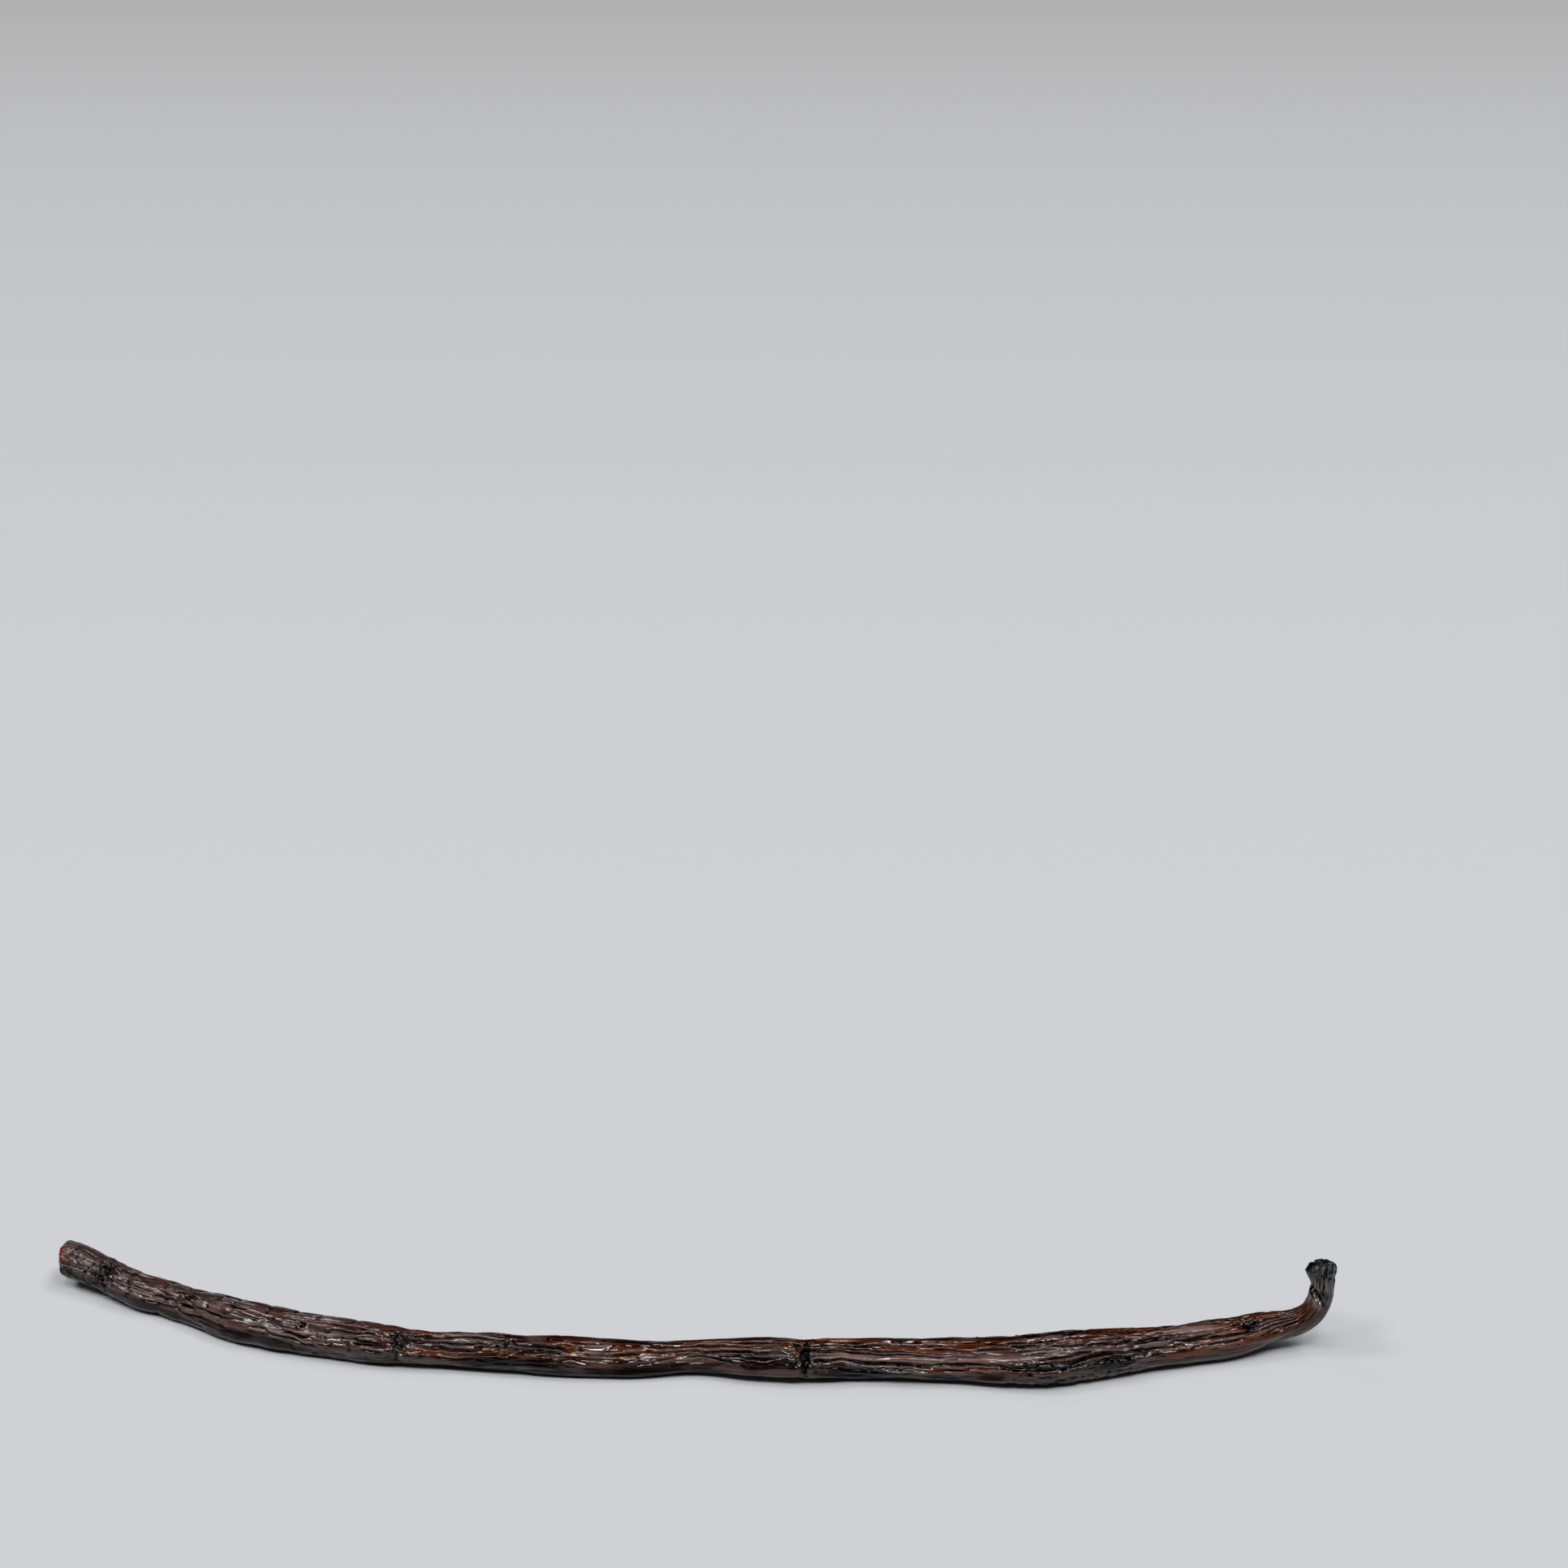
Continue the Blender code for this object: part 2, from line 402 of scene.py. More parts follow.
xs, turns = zip(*SHOULDER)
shoulder = smoothed(np.interp(along, [along_at(x) for x in xs], turns), 11)[:, None]
below = soft_step(DEGREES - shoulder, 2, 14) * (1 - soft_step(DEGREES, 250, 285))
pressed = np.maximum(0.75 * below, 0.9 * ovals(PRESSED))
crumpled = ovals(CRUMPLED)
print(f"{pressed.mean():.0%} of the skin is pressed smooth")

# %% Say where the folds run close, wide and sleek
fibrous = past(-8, 2) * (1 - past(34, 42))
sleek = past(-33, -29) * (1 - past(6, 12))
aged = 1 - past(-44, -30)
loose = 1 + 2.5 * crumpled + 0.6 * (1 - fibrous)
twisted = ANGLE + 1.3 * ALONG / LENGTH
swayed = twisted + 0.42 * skin_noise(0.7, 13, 1) + 0.07 * loose * skin_noise(1.6, 3.6, 2)
paced = np.cumsum(np.gradient(along) * (2.4 - 1.4 * fibrous[:, 0]))[:, None]
drifted = paced + 1.6 * crumple_noise(2.5, 8) + 0.2 * loose * crumple_noise(0.9, 9)
print(f"folds sway by up to {np.degrees(np.abs(swayed - twisted).max()):.0f} degrees")

# %% Fold the skin along its length
PLATE = (2.3, 10, 10)
PLATE_DEPTH = 0.17
# Width, length, seed and depth of the strands, and the share of it that is lost where it is sleek.
STRANDS = ((1.1, 13, 4, 0.16, 0.35), (0.5, 6, 5, 0.07, 0.55))

relief = 0.20 * (pleat(skin_noise(1.8, 17, 3, swayed), 0.2) - 0.65) * (1 - 0.6 * below)
relief += 0.16 * skin_noise(0.8, 6.5, 6) + 0.05 * skin_noise(1.6, 2.6, 7) + 0.08 * aged
plates, own = cells(*PLATE, swayed, drifted)
relief += PLATE_DEPTH * aged * (plates - 0.75 + 0.6 * (own - 0.5)) * (1 - 0.5 * pressed)
for width, length, seed, depth, lost in STRANDS:
    strands, own = cells(width, length, seed, swayed, drifted)
    lively = (1 - np.maximum(lost * sleek, 0.7 * aged)) * (1 - pressed)
    relief += depth * (strands - 0.65 + 0.4 * (own - 0.5)) * lively
print(f"folds from {relief.min():.2f} to {relief.max():.2f} mm")

# %% Crumple it where it was bent or squeezed
CURLED = ((45, 100, 5, 1.8), (-58, 125, 4, 1.2), (-70, 150, 5, 1))

bent_angle = ANGLE + 0.12 * crumple_noise(1.6, 13)
lumps, _ = cells(1.15, 1.5, 12, bent_angle, ALONG + 0.5 * crumple_noise(1.4, 14))
grit, _ = cells(0.42, 0.5, 15, ANGLE, ALONG)
relief += 0.20 * (lumps - 0.7) * np.maximum(crumpled, 0.5 * ovals(CURLED))
relief += 0.08 * (grit - 0.7) * (crumpled + 0.05)
relief += 0.07 * below * skin_noise(1.3, 4, 23)
relief += 0.07 * below * (pleat(skin_noise(2.4, 13, 24, swayed), 0.07) - 1)
print(f"crumpled on {crumpled.mean():.0%} of the skin")

# %% [markdown]
# ## Cracks and ridges placed one by one
# Noise makes skin that is everywhere alike, and a real pod isn't. The cracks and ridges that
# catch the eye are drawn on, as short strokes over the skin. Each row gives a stroke's
# depth and width in hundredths of a millimetre, and then the x and the turn of each of its
# points. A crack is a narrow groove with raised lips, and thins out at its ends. A ridge is its
# opposite, and its crest gets a paler colour, which is painted sheen.

# %% Draw the cracks
CRACKS = (
    (24, 17, -75.7, 111, -74.5, 118, -73.2, 124),
    (20, 15, -75, 161, -74.3, 153, -73.4, 147),
    (14, 12, -72.8, 152, -70.5, 149, -68.2, 147),
    (13, 11, -72.5, 141, -70, 139, -67, 139),
    (13, 12, -72, 158, -69.5, 157, -67.5, 162, -65, 160),
    (24, 18, -67.6, 152, -66.2, 148, -64.8, 147),
    (22, 15, -66.9, 129, -66.2, 134, -65, 135),
    (25, 14, -65, 114, -64.2, 111, -63.4, 115),
    (32, 17, -63.4, 129, -62.2, 122, -60.6, 115),
    (28, 15, -63.6, 150, -62.4, 151, -61.2, 149),
    (14, 10, -61.5, 178, -59.5, 181, -57.4, 182),
    (18, 14, -70, 172, -66.5, 170, -63.5, 168, -60, 170, -57, 169),
    (22, 14, -62.5, 140, -60.5, 144, -57.5, 148, -55, 146),
    (18, 13, -57.6, 110, -56.4, 116, -54.8, 120),
    (16, 12, -60.5, 98, -57, 101, -52, 98, -47, 101, -41, 99),
    (14, 11, -56, 87, -50, 91, -44, 89, -38, 92),
    (14, 11, -52, 110, -46.5, 112, -41.5, 109, -37.5, 113),
    (32, 16, -54, 159, -52.2, 158, -51, 165, -49.2, 169, -47.2, 170, -45.6, 176, -44.4, 184),
    (32, 18, -49.6, 155, -48, 159, -46, 157),
    (18, 12, -46.2, 163, -43.5, 165, -41.4, 161),
    (32, 21, -40.2, 151, -39.2, 156, -38, 157, -36.6, 153),
    (16, 13, -40.8, 160, -40.6, 172, -40.9, 184),
    (16, 11, -39.5, 171, -38, 175, -36.3, 176),
    (20, 13, -44, 129, -41.5, 127, -39, 126, -36.6, 129),
    (50, 23, -35.4, 125, -35.2, 133, -35, 142),
    (42, 22, -34.4, 129, -33.5, 132, -32.6, 133),
    (26, 16, -35.2, 147, -35.3, 165, -35, 190, -35.4, 215),
    (20, 14, -35.8, 119, -36.3, 105, -35.6, 90),
    (18, 13, -33.6, 119, -32.3, 108, -31, 101),
    (16, 13, -36.7, 146, -37.7, 152),
    (18, 12, -32.2, 149, -31, 154, -29.8, 159),
    (15, 10, -31.5, 127, -28, 130, -25, 126, -22.6, 121),
    (13, 10, -30, 109, -27, 106, -24, 110),
    (32, 20, -30.6, 148, -28.5, 151, -26, 152, -24.6, 149),
    (22, 14, -30.2, 163, -27, 166, -24, 161, -21.3, 160),
    (14, 10, -31, 178, -28.5, 180, -26, 178),
    (22, 14, -22.7, 99, -22, 112, -21.5, 124, -22, 135),
    (16, 12, -21.2, 104, -20.7, 114, -21, 125),
    (24, 13, -16.6, 88, -16.4, 97, -16.9, 106),
    (34, 14, -15.4, 103, -13, 107, -11, 105, -9.8, 101),
    (22, 14, -19.7, 128, -17, 126, -15, 130, -13.8, 137),
    (20, 13, -20.5, 147, -18, 146, -16, 141, -14.3, 144),
    (22, 14, -12.4, 119, -12.7, 128, -12, 134),
    (28, 13, -9.3, 131, -8.9, 118, -8.3, 102),
    (18, 12, -12.2, 143, -9.5, 145, -8, 142, -6.5, 136, -5, 131),
    (14, 10, -7.9, 150, -8.2, 160, -8, 169),
    (18, 13, -8, 113, -4.5, 108, -1, 106, 3, 103, 7, 110, 11.5, 114),
    (22, 13, -4.2, 124, 0, 127, 4, 130, 8, 135, 11, 137, 13.4, 135),
    (16, 12, -6.2, 171, -4.3, 166, -3, 159, -1.5, 151, 0.8, 145),
    (15, 10, -0.2, 158, 2, 149, 3.5, 148, 5, 156, 6, 164, 8, 171, 10.8, 184),
    (26, 14, 8.8, 153, 10.5, 155, 12.2, 153),
    (16, 11, -2, 92, 3, 89, 8, 96, 13, 99),
    (55, 26, 15.6, 117, 15.3, 135, 15.1, 150, 15.6, 165, 15.2, 182, 15.7, 208),
    (28, 15, 14.6, 122, 16, 127, 17.6, 121),
    (22, 15, 14, 113, 15.7, 107),
    (22, 13, 16.3, 131, 18, 127, 22, 130, 25, 137, 29, 139, 33, 141, 37, 137),
    (24, 12, 16, 161, 17.5, 156, 20, 152, 21.8, 155),
    (42, 18, 21, 156, 23, 160, 25, 162, 27.5, 163, 30, 164, 32.5, 162),
    (22, 13, 22.3, 171, 25, 171, 27, 173, 30.4, 176),
    (20, 15, 17, 172, 20, 178, 23, 183, 26, 186, 30, 188),
    (24, 12, 27.2, 159, 27.1, 169, 27.3, 180),
    (14, 10, 28, 138, 28.1, 147),
    (20, 13, 16, 113, 19, 110, 22, 104, 25, 101, 30, 100, 36, 102),
    (18, 13, 17, 119, 21, 118, 24, 123, 28, 127, 31.5, 128),
    (15, 10, 17.5, 93, 23, 90, 28, 86, 34, 88, 40, 92),
    (15, 10, 28, 131, 32, 134, 35.5, 133),
    (26, 16, 32, 160, 35, 159, 38, 162, 40.5, 160),
    (18, 14, 33, 176, 35.5, 173, 38, 171, 40.5, 167),
    (36, 18, 39, 162, 41.5, 167, 44, 170, 46.5, 172, 49.3, 169),
    (28, 15, 42.5, 175, 43.3, 183),
    (20, 12, 36, 119, 40, 117, 43, 112, 46.2, 115),
    (24, 14, 38, 97, 41, 98, 43.5, 104, 47.2, 102),
    (26, 14, 47.5, 100, 50, 102, 53.2, 98),
    (26, 12, 44, 151, 46, 149, 47.5, 145, 50.2, 143),
    (34, 17, 45, 161, 48, 159, 50.5, 153, 53.2, 150),
    (18, 10, 41.3, 128, 44, 125, 46.2, 129),
    (18, 10, 43, 122, 45.5, 119, 48, 123, 50.8, 118),
    (18, 12, 50, 112, 53, 110, 56.3, 113),
    (22, 14, 51.8, 124, 53.5, 127, 55.7, 124),
    (40, 15, 56, 132, 58.5, 130, 60, 127, 61.8, 121),
    (24, 11, 55.8, 126, 59, 122, 61.2, 117),
    (18, 10, 56.3, 148, 60, 151, 62.7, 149),
    (24, 14, 50.3, 164, 53, 167, 55.5, 163, 57.2, 162),
    (24, 13, 60.8, 133, 62.4, 139, 64, 135, 66.8, 127),
    (26, 12, 65.3, 139, 67.5, 144, 69.5, 143, 71.3, 139),
    (18, 11, 63.3, 157, 66, 161, 69.3, 161),
    (20, 12, 65.3, 83, 69, 90, 71.5, 98, 75, 89, 78.5, 81),
    (24, 13, 68.4, 99, 69.8, 105, 71.3, 110),
    (42, 20, 69.4, 116, 70.6, 122, 71.6, 132),
    (26, 13, 71.4, 119, 74, 109, 77.5, 105, 80, 108),
    (22, 12, 71.8, 134, 73.5, 124, 76.5, 121, 79.5, 125),
    (20, 12, 71.8, 146, 74, 138, 77, 137, 80, 145),
    (16, 10, 73, 159, 75.5, 151, 79, 158, 81, 172),
    (16, 10, 76, 95, 79, 93, 81.5, 100),
    (50, 26, 84.9, 90, 84.5, 125, 84.1, 150, 83.5, 175, 83, 215),
    (20, 13, 86, 118, 85.3, 121),
    (22, 14, 86.6, 137, 85.4, 140),
    (22, 14, 86.3, 155, 85.2, 158),
    (22, 13, 86, 177, 84.6, 180),
    (16, 11, 87, 118, 87.5, 130, 87.6, 140),
    (16, 11, 87.5, 116, 88.1, 127),
)
cracks = np.zeros_like(relief)
for depth, width, away, strength in drawn(CRACKS):
    groove = strength * bell(away / width)
    lips = strength * bell((away - 2.3 * width) / width)
    relief += depth * (0.22 * lips - groove)
    cracks = np.maximum(cracks, groove**2 * min(1, 4 * depth))
print(f"{len(CRACKS)} cracks")

# %% Draw the ridges
RIDGES = (
    (20, 20, -54.8, 155, -52.8, 153, -51.5, 160, -50, 165, -48, 165, -46.5, 168, -44.6, 178),
    (16, 18, -48.7, 150, -46, 147, -43.3, 143, -40, 137, -36.4, 133),
    (14, 13, -60.2, 122, -59, 127, -57.8, 131),
    (14, 14, -72, 145, -69, 143, -66, 141, -63.8, 138),
    (12, 13, -71, 165, -68, 164, -64.5, 163),
    (15, 15, -63, 158, -61.8, 163, -60.3, 168),
    (12, 20, -31.2, 98, -27, 96, -22.8, 100),
    (13, 24, -31, 120, -27, 117, -22.6, 116),
    (14, 14, -30.6, 137, -28.3, 136, -25.5, 139),
    (12, 12, -20.6, 157, -18.5, 158, -16.8, 156),
    (14, 13, -16.2, 117, -14.5, 116, -13, 114),
    (20, 18, -12.3, 137, -10, 139, -8.5, 138, -7.5, 132, -6.5, 127, -4, 118),
    (20, 20, -5, 117, 0, 120, 4, 122, 8, 127, 10.5, 130, 14.2, 128),
    (13, 12, 0.8, 98, 3, 97, 5.6, 98),
    (13, 12, 5.2, 104, 8.2, 106),
    (10, 10, 0, 162, 2, 153, 3.4, 152, 4.6, 160),
    (16, 17, 10, 145, 12.4, 144, 14.3, 147),
    (22, 32, 16.8, 144, 20, 145, 24, 147, 29, 149, 35, 147, 41, 147),
    (26, 17, 20.2, 163, 21.5, 166, 23, 168, 24.4, 167, 26.8, 168, 28.5, 170, 30.8, 173),
    (18, 15, 24.3, 175, 27, 179, 31.2, 182),
    (14, 13, 22.5, 95, 27, 93, 33.5, 95),
    (12, 11, 27.5, 134, 31, 137, 34.5, 137),
    (13, 12, 16.3, 150, 17.6, 147),
    (15, 15, 42, 94, 44, 90, 46.2, 96),
    (16, 15, 46, 110, 47.6, 105, 49, 108),
    (16, 14, 47.4, 94, 49.2, 91, 51.2, 94),
    (12, 14, 41.8, 133, 45, 132, 48, 135),
    (12, 14, 42.5, 141, 45.5, 140, 48.5, 138, 51.5, 137),
    (14, 13, 51, 105, 53.5, 104, 56.2, 106),
    (18, 20, 56, 138, 58.5, 137, 61, 133),
    (15, 16, 60.6, 159, 62.5, 156, 64.7, 151),
    (14, 15, 52.5, 156, 55, 157, 56.8, 160),
    (15, 16, 65.3, 134, 67.5, 136, 70, 135),
    (18, 22, 65, 152, 68, 153, 71, 151, 76, 147, 79.5, 150),
    (14, 15, 76.5, 100, 79, 100, 81, 106),
    (15, 15, 75, 115, 78, 114, 80.5, 118),
    (15, 15, 75.5, 130, 78.5, 131, 80.5, 138),
    (13, 14, 83.4, 110, 83.1, 140, 82.6, 170),
)
crests = np.zeros_like(relief)
for rise, width, away, strength in drawn(RIDGES):
    crest = strength * bell(away / width)
    relief += rise * crest
    crests = np.maximum(crests, crest)
print(f"{len(RIDGES)} ridges")

# %% [markdown]
# ## Pinches, pits and the pressed edge
# A pinch, where the pod was bent while soft, is a pit with small folds that run out of it like a
# star. The skin also has small pits, where a bubble or a grain left its print. The shoulder
# stands a little proud of the pressed face below it, and that face is grainy in the one place
# where it bulges. There is also one low swelling on the upper side.

# %% Pinch the skin into stars
crumple = 0.55 * crumple_noise(0.9, 41) + 0.5 * crumple_noise(0.45, 42)


def star_pinch(x, turn, size):
    """Relief of a pit with small folds that run out of it."""
    forward, across = from_place(x, turn)
    away = np.hypot(forward, across) / size
    rays = np.arctan2(across, forward) * 3.5 + 2.2 * crumple_noise(2.2, 43)
    star = (np.abs(np.sin(rays)) - 0.6) * bell(away / 1.7) * (1 - bell(away / 0.5))
    pit = bell(forward / (0.3 * size)) * bell(across / (0.9 * size))
    waist = bell(forward / (0.9 * size)) * (0.6 + 0.4 * np.cos(across / RADIUS))
    return 0.24 * star - 0.35 * pit - 0.08 * waist + 0.5 * crumple * bell(away / 1.15)


for pinch in PINCHES:
    relief += star_pinch(*pinch)
print(f"relief from {relief.min():.2f} to {relief.max():.2f} mm")

# %% Sink the pits
PITS = [
    (-55.3, 127, 0.16, 0.2), (-53.5, 140, 0.14, 0.18), (-52.4, 136, 0.14, 0.17), (-51.5, 127, 0.14, 0.2),
    (-47.5, 126, 0.36, 0.34), (-42, 150, 0.18, 0.2), (7.7, 148, 0.18, 0.2), (31.3, 196, 0.14, 0.2),
    (43.1, 178, 0.2, 0.3), (57, 162, 0.18, 0.2), (59.5, 104, 0.12, 0.2), (65.7, 163, 0.16, 0.2),
]
MORE_PITS = 46

random = np.random.default_rng(seed=7)
for _ in range(MORE_PITS):
    x, turn = random.uniform(-80, 74), random.uniform(20, 250)
    PITS.append((x, turn, random.uniform(0.04, 0.11), random.uniform(0.13, 0.22)))
for x, turn, depth, size in PITS:
    away = np.hypot(*from_place(x, turn)) / size
    relief += depth * (0.4 * bell((away - 1.5) / 0.5) - bell(away))
print(f"{len(PITS)} pits")

# %% Raise the edge of the pressed face, and roughen it where it swells
edge = np.radians(turn_between(DEGREES, shoulder)) * RADIUS + wobble_round
relief += 0.10 * bell(edge / 0.3) * (0.5 + skin_noise(0.5, 3, 22)) - 0.10 * bell((edge - 0.9) / 0.7)
swollen = past(36, 42) * (1 - past(54, 60))
grainy = swollen * soft_step(DEGREES, 178, 200) * (1 - soft_step(DEGREES, 250, 290))
relief += (0.16 * crumple_noise(0.5, 51) + 0.10 * crumple_noise(1.2, 52)) * grainy
bulge, _ = from_place(-27.5, 75)
relief += 0.12 * bell(bulge / 3.5) * facing(75, 35)
print(f"the shoulder lies between {shoulder.min():.0f} and {shoulder.max():.0f} degrees")

# %% [markdown]
# ## The two ends
# The blossom end is blunt, as if cut straight across: a granular rim round a shallow scar. At the
# other end the neck turns up, with short wrinkles along it, and carries a dry, crumpled cap a
# little wider than itself, where the pod was broken from its stalk. Some of this moves the skin
# out or in, and some pushes it along the pod.

# %% Shape the blossom end
top_corner = facing(75, 45) * SHARE**3
granular = 0.15 * crumple_noise(0.6, 61) + 0.16 * crumple_noise(1.3, 62) + 0.06 * (grit - 0.7)
relief += bell(ALONG / 5) * granular * (1 - 0.75 * top_corner)
relief -= (0.35 * bell(ALONG / 0.9) + 0.42 * bell(ALONG / 2)) * top_corner
push = 0.22 * bell(ALONG / 1.2) * (crumple_noise(1.1, 63) + 0.5 * crumple_noise(0.5, 64))
push += 0.95 * bell(ALONG / 1.6) * top_corner - 0.3 * bell(ALONG) * SHARE * facing(215, 30)
print(f"the blossom end is pushed by {push.min():.2f} to {push.max():.2f} mm")

# %% Shape the neck and the cap
CAP_LENGTH = 3.0
NECK_FOLD = 73.4

from_cap = LENGTH - ALONG
capped = soft_step(from_cap, CAP_LENGTH, CAP_LENGTH - 0.8)
at_end = soft_step(from_cap, 2.2, 0.3)
left = facing(84, 46)
lobes = 0.75 + 0.25 * np.cos((from_cap - 0.7) * 2.6)
lumpy = 0.16 * crumple_noise(1.3, 65) + 0.14 * crumple_noise(0.6, 66)
relief += capped * (lumpy + 0.14 * left * lobes + 0.12 * facing(230, 40))
relief += (0.30 * bell((from_cap - 2) / 0.7) - 0.15 * bell((from_cap - 3.4) / 0.5)) * left
push += at_end * (0.22 * crumple_noise(1.2, 67) + 0.12 * crumple_noise(0.5, 68) - 0.42)
push += at_end * (0.55 * facing(200, 22) * SHARE**3 - 0.85 * left)
wrinkled = soft_step(from_cap, 7, 5) * (1 - capped)
relief += 0.15 * wrinkled * (pleat(skin_noise(3, 2.2, 69), 0.2) - 0.6)
relief += 0.20 * past(58, 70) * facing(225, 35) * (1 - capped)
relief -= 0.16 * bell((ALONG - along_at(NECK_FOLD)) / 0.45) * facing(222, 30)
print(f"cap from {LENGTH - CAP_LENGTH:.1f} mm on")

# %% [markdown]
# ## Growing the mesh
# A circle of edges is extruded ring after ring, and every new vertex moves to its place on the
# grid. The extrude operator copies a vertex's own layer values, so each remembers its spoke. The
# ends are closed by extruding once more and merging the new ring into one point. The rings near
# the blossom end lean until they stand square to the x axis, so that the end looks cut straight
# across. What would sink below the table is pressed flat on it.

# %% Work out where every point of the grid goes
LEANING = 7.0
END_GAP = 0.12

centre, tangent, up = (
    np.stack([np.interp(along, reach / MM, column) for column in rows.T], axis=1)
    for rows in (line / MM, tangents, ups)
)
side = np.cross(up, tangent)
outward = side[:, None] * np.cos(ANGLE)[..., None] + up[:, None] * np.sin(ANGLE)[..., None]
distance_out = (RADIUS + relief) * SHARE
push -= soft_step(ALONG, LEANING, 0.5) * outward[..., 0] * distance_out / tangent[:, None, 0]
places = centre[:, None] + outward * distance_out[..., None] + tangent[:, None] * push[..., None]
places[..., 0] = np.maximum(places[..., 0], low.x / MM + END_GAP)
places[..., 2] = np.maximum(places[..., 2], 0.0)
places *= MM
print(f"the skin is up to {places[..., 2].max() / MM:.1f} mm high")

# %% Extrude the skin


def new_object(name, data):
    """Puts data into the scene as an object."""
    made = bpy.data.objects.new(name, data)
    bpy.context.scene.collection.objects.link(made)
    return made


def mesh_object(name, bm):
    """Puts a finished bmesh into the scene as a smooth object."""
    mesh = bpy.data.meshes.new(name)
    bm.to_mesh(mesh)
    bm.free()
    mesh.shade_smooth()
    return new_object(name, mesh)


def close_end(bm, edges, centre):
    """Closes an open ring with a fan that meets at centre."""
    grown = bmesh.ops.extrude_edge_only(bm, edges=edges)["geom"]
    verts = [item for item in grown if isinstance(item, bmesh.types.BMVert)]
    bmesh.ops.pointmerge(bm, verts=verts, merge_co=centre)


def grow_skin(places):
    """The skin as a closed mesh, with each vertex's ring and spoke as layers."""
    bm = bmesh.new()
    ring_of = bm.verts.layers.int.new("ring")
    spoke_of = bm.verts.layers.int.new("spoke")
    rows = places.tolist()
    circle = bmesh.ops.create_circle(bm, segments=SPOKES, radius=1.0)["verts"]
    for spoke, vert in enumerate(circle):
        vert[spoke_of] = spoke
        vert.co = rows[0][spoke]
    first = edges = bm.edges[:]
    for ring, row in enumerate(rows[1:], start=1):
        grown = bmesh.ops.extrude_edge_only(bm, edges=edges)["geom"]
        edges = [item for item in grown if isinstance(item, bmesh.types.BMEdge)]
        for item in grown:
            if isinstance(item, bmesh.types.BMVert):
                item[ring_of] = ring
                item.co = row[item[spoke_of]]
    close_end(bm, edges, places[-1].mean(axis=0))
    close_end(bm, first, places[0].mean(axis=0))
    bmesh.ops.recalc_face_normals(bm, faces=bm.faces)
    return bm


pod_skin = mesh_object("pod_skin", grow_skin(places))
skin_mesh = pod_skin.data
triangles = sum(len(face.vertices) - 2 for face in skin_mesh.polygons)
print(f"pod skin: {len(skin_mesh.vertices)} points, {triangles} triangles")

# %% [markdown]
# ## Telling the material about the shape
# A few values are kept on the mesh for the material: how much painted shade a point gets, in
# furrows, cracks and under the pod, how warm and thin the skin is, how pale it is from wear and
# painted sheen, how wet, how dried, how aged, and the place on the straightened pod, so that fine
# streaks run along the pod and turn up with its neck. Listed ovals say where colours, painted shade
# and painted sheen gather, and noise and the shape itself do the rest.

# %% Place the colours on the skin
AMBER_SPOTS = (
    (-58, 157, 3, 0.6), (-48, 106, 8, 0.6), (-43.6, 158, 3, 0.7), (-33, 96, 6, 0.6),
    (-32.7, 155, 0.9, 0.5), (-27.5, 156, 2.6, 0.6), (-23, 153, 1, 0.5), (-13.5, 131, 1.1, 0.9),
    (-13, 176, 9, 1.3), (-10, 150, 4, 0.7), (-2.5, 137, 3, 1.1), (3.5, 111, 5, 0.6),
    (14.8, 156, 0.9, 1.3), (19.7, 159, 2, 0.5), (20, 84, 5, 0.6), (24, 176, 5, 0.6), (25.5, 124, 2, 0.4),
    (27.5, 113, 7, 0.8), (34, 169, 4, 0.7), (35, 109, 4.5, 0.5), (40.5, 104, 2.2, 0.35),
    (48.5, 151, 1.8, 0.35), (52, 99, 4, 0.3), (66.5, 155, 5, 0.6), (67.5, 133, 3, 0.4), (70, 172, 4, 0.8),
    (73.5, 150, 4, 0.4), (78, 88, 4, 1.1), (80, 115, 2.5, 1.4), (81, 150, 1.2, 1.5),
)
# Pale patches of painted sheen, on broad ridges and smooth faces.
SHEEN_SPOTS = (
    (-74.2, 158, 0.8, 0.5), (-68.5, 150, 3, 0.8), (-60, 134, 2.4, 0.7), (-58.3, 108, 0.8, 0.5),
    (-51, 160, 3, 0.3), (-46, 147, 3, 0.3), (-27, 98, 4, 0.3), (-25, 120, 3, 0.3), (-18.2, 98, 1.4, 0.7),
    (-10.2, 120, 1.9, 1.4), (0, 172, 5, 0.9), (22, 145, 5.5, 0.8), (28, 94, 6, 0.25), (30, 149, 6, 0.9),
    (36.5, 146, 6, 0.95), (43, 144, 3.5, 0.9), (45, 93, 3.5, 0.6), (46, 129, 4, 0.7), (52.5, 138, 3, 0.5),
    (54.5, 107, 4, 0.4), (58, 138, 3, 0.35), (64.5, 99, 3, 1.2), (66.2, 169, 1.2, 0.25),
    (74, 128, 1.6, 0.5), (76, 190, 3, 0.3), (83.3, 140, 0.9, 2), (85.3, 150, 1.2, 1.8),
    (87.2, 148, 1.2, 0.8),
)
# Black spots at the pinches and cracks, and patches of painted shade on the face under the pod.
BLACK_AND_SHADE_SPOTS = (
    (-75.1, 144, 1.6, 1.5), (-62.5, 124, 1, 0.5), (-47.6, 126, 0.4, 0.4), (-39, 154, 1.4, 0.4),
    (-34.9, 134, 1.1, 1.4), (-24, 200, 4, 0.6), (-20, 196, 8, 2), (-17.5, 186, 3.5, 1), (-5, 203, 8, 1.6),
    (3, 205, 3, 0.8), (15.4, 150, 0.7, 2.6), (20.5, 188, 4, 0.8), (22, 196, 5, 1.3), (44.5, 167, 5, 0.7),
    (53, 175, 2.4, 1), (71, 118, 1.4, 0.9), (84.1, 150, 0.5, 3.4), (88, 85, 1.2, 1),
)
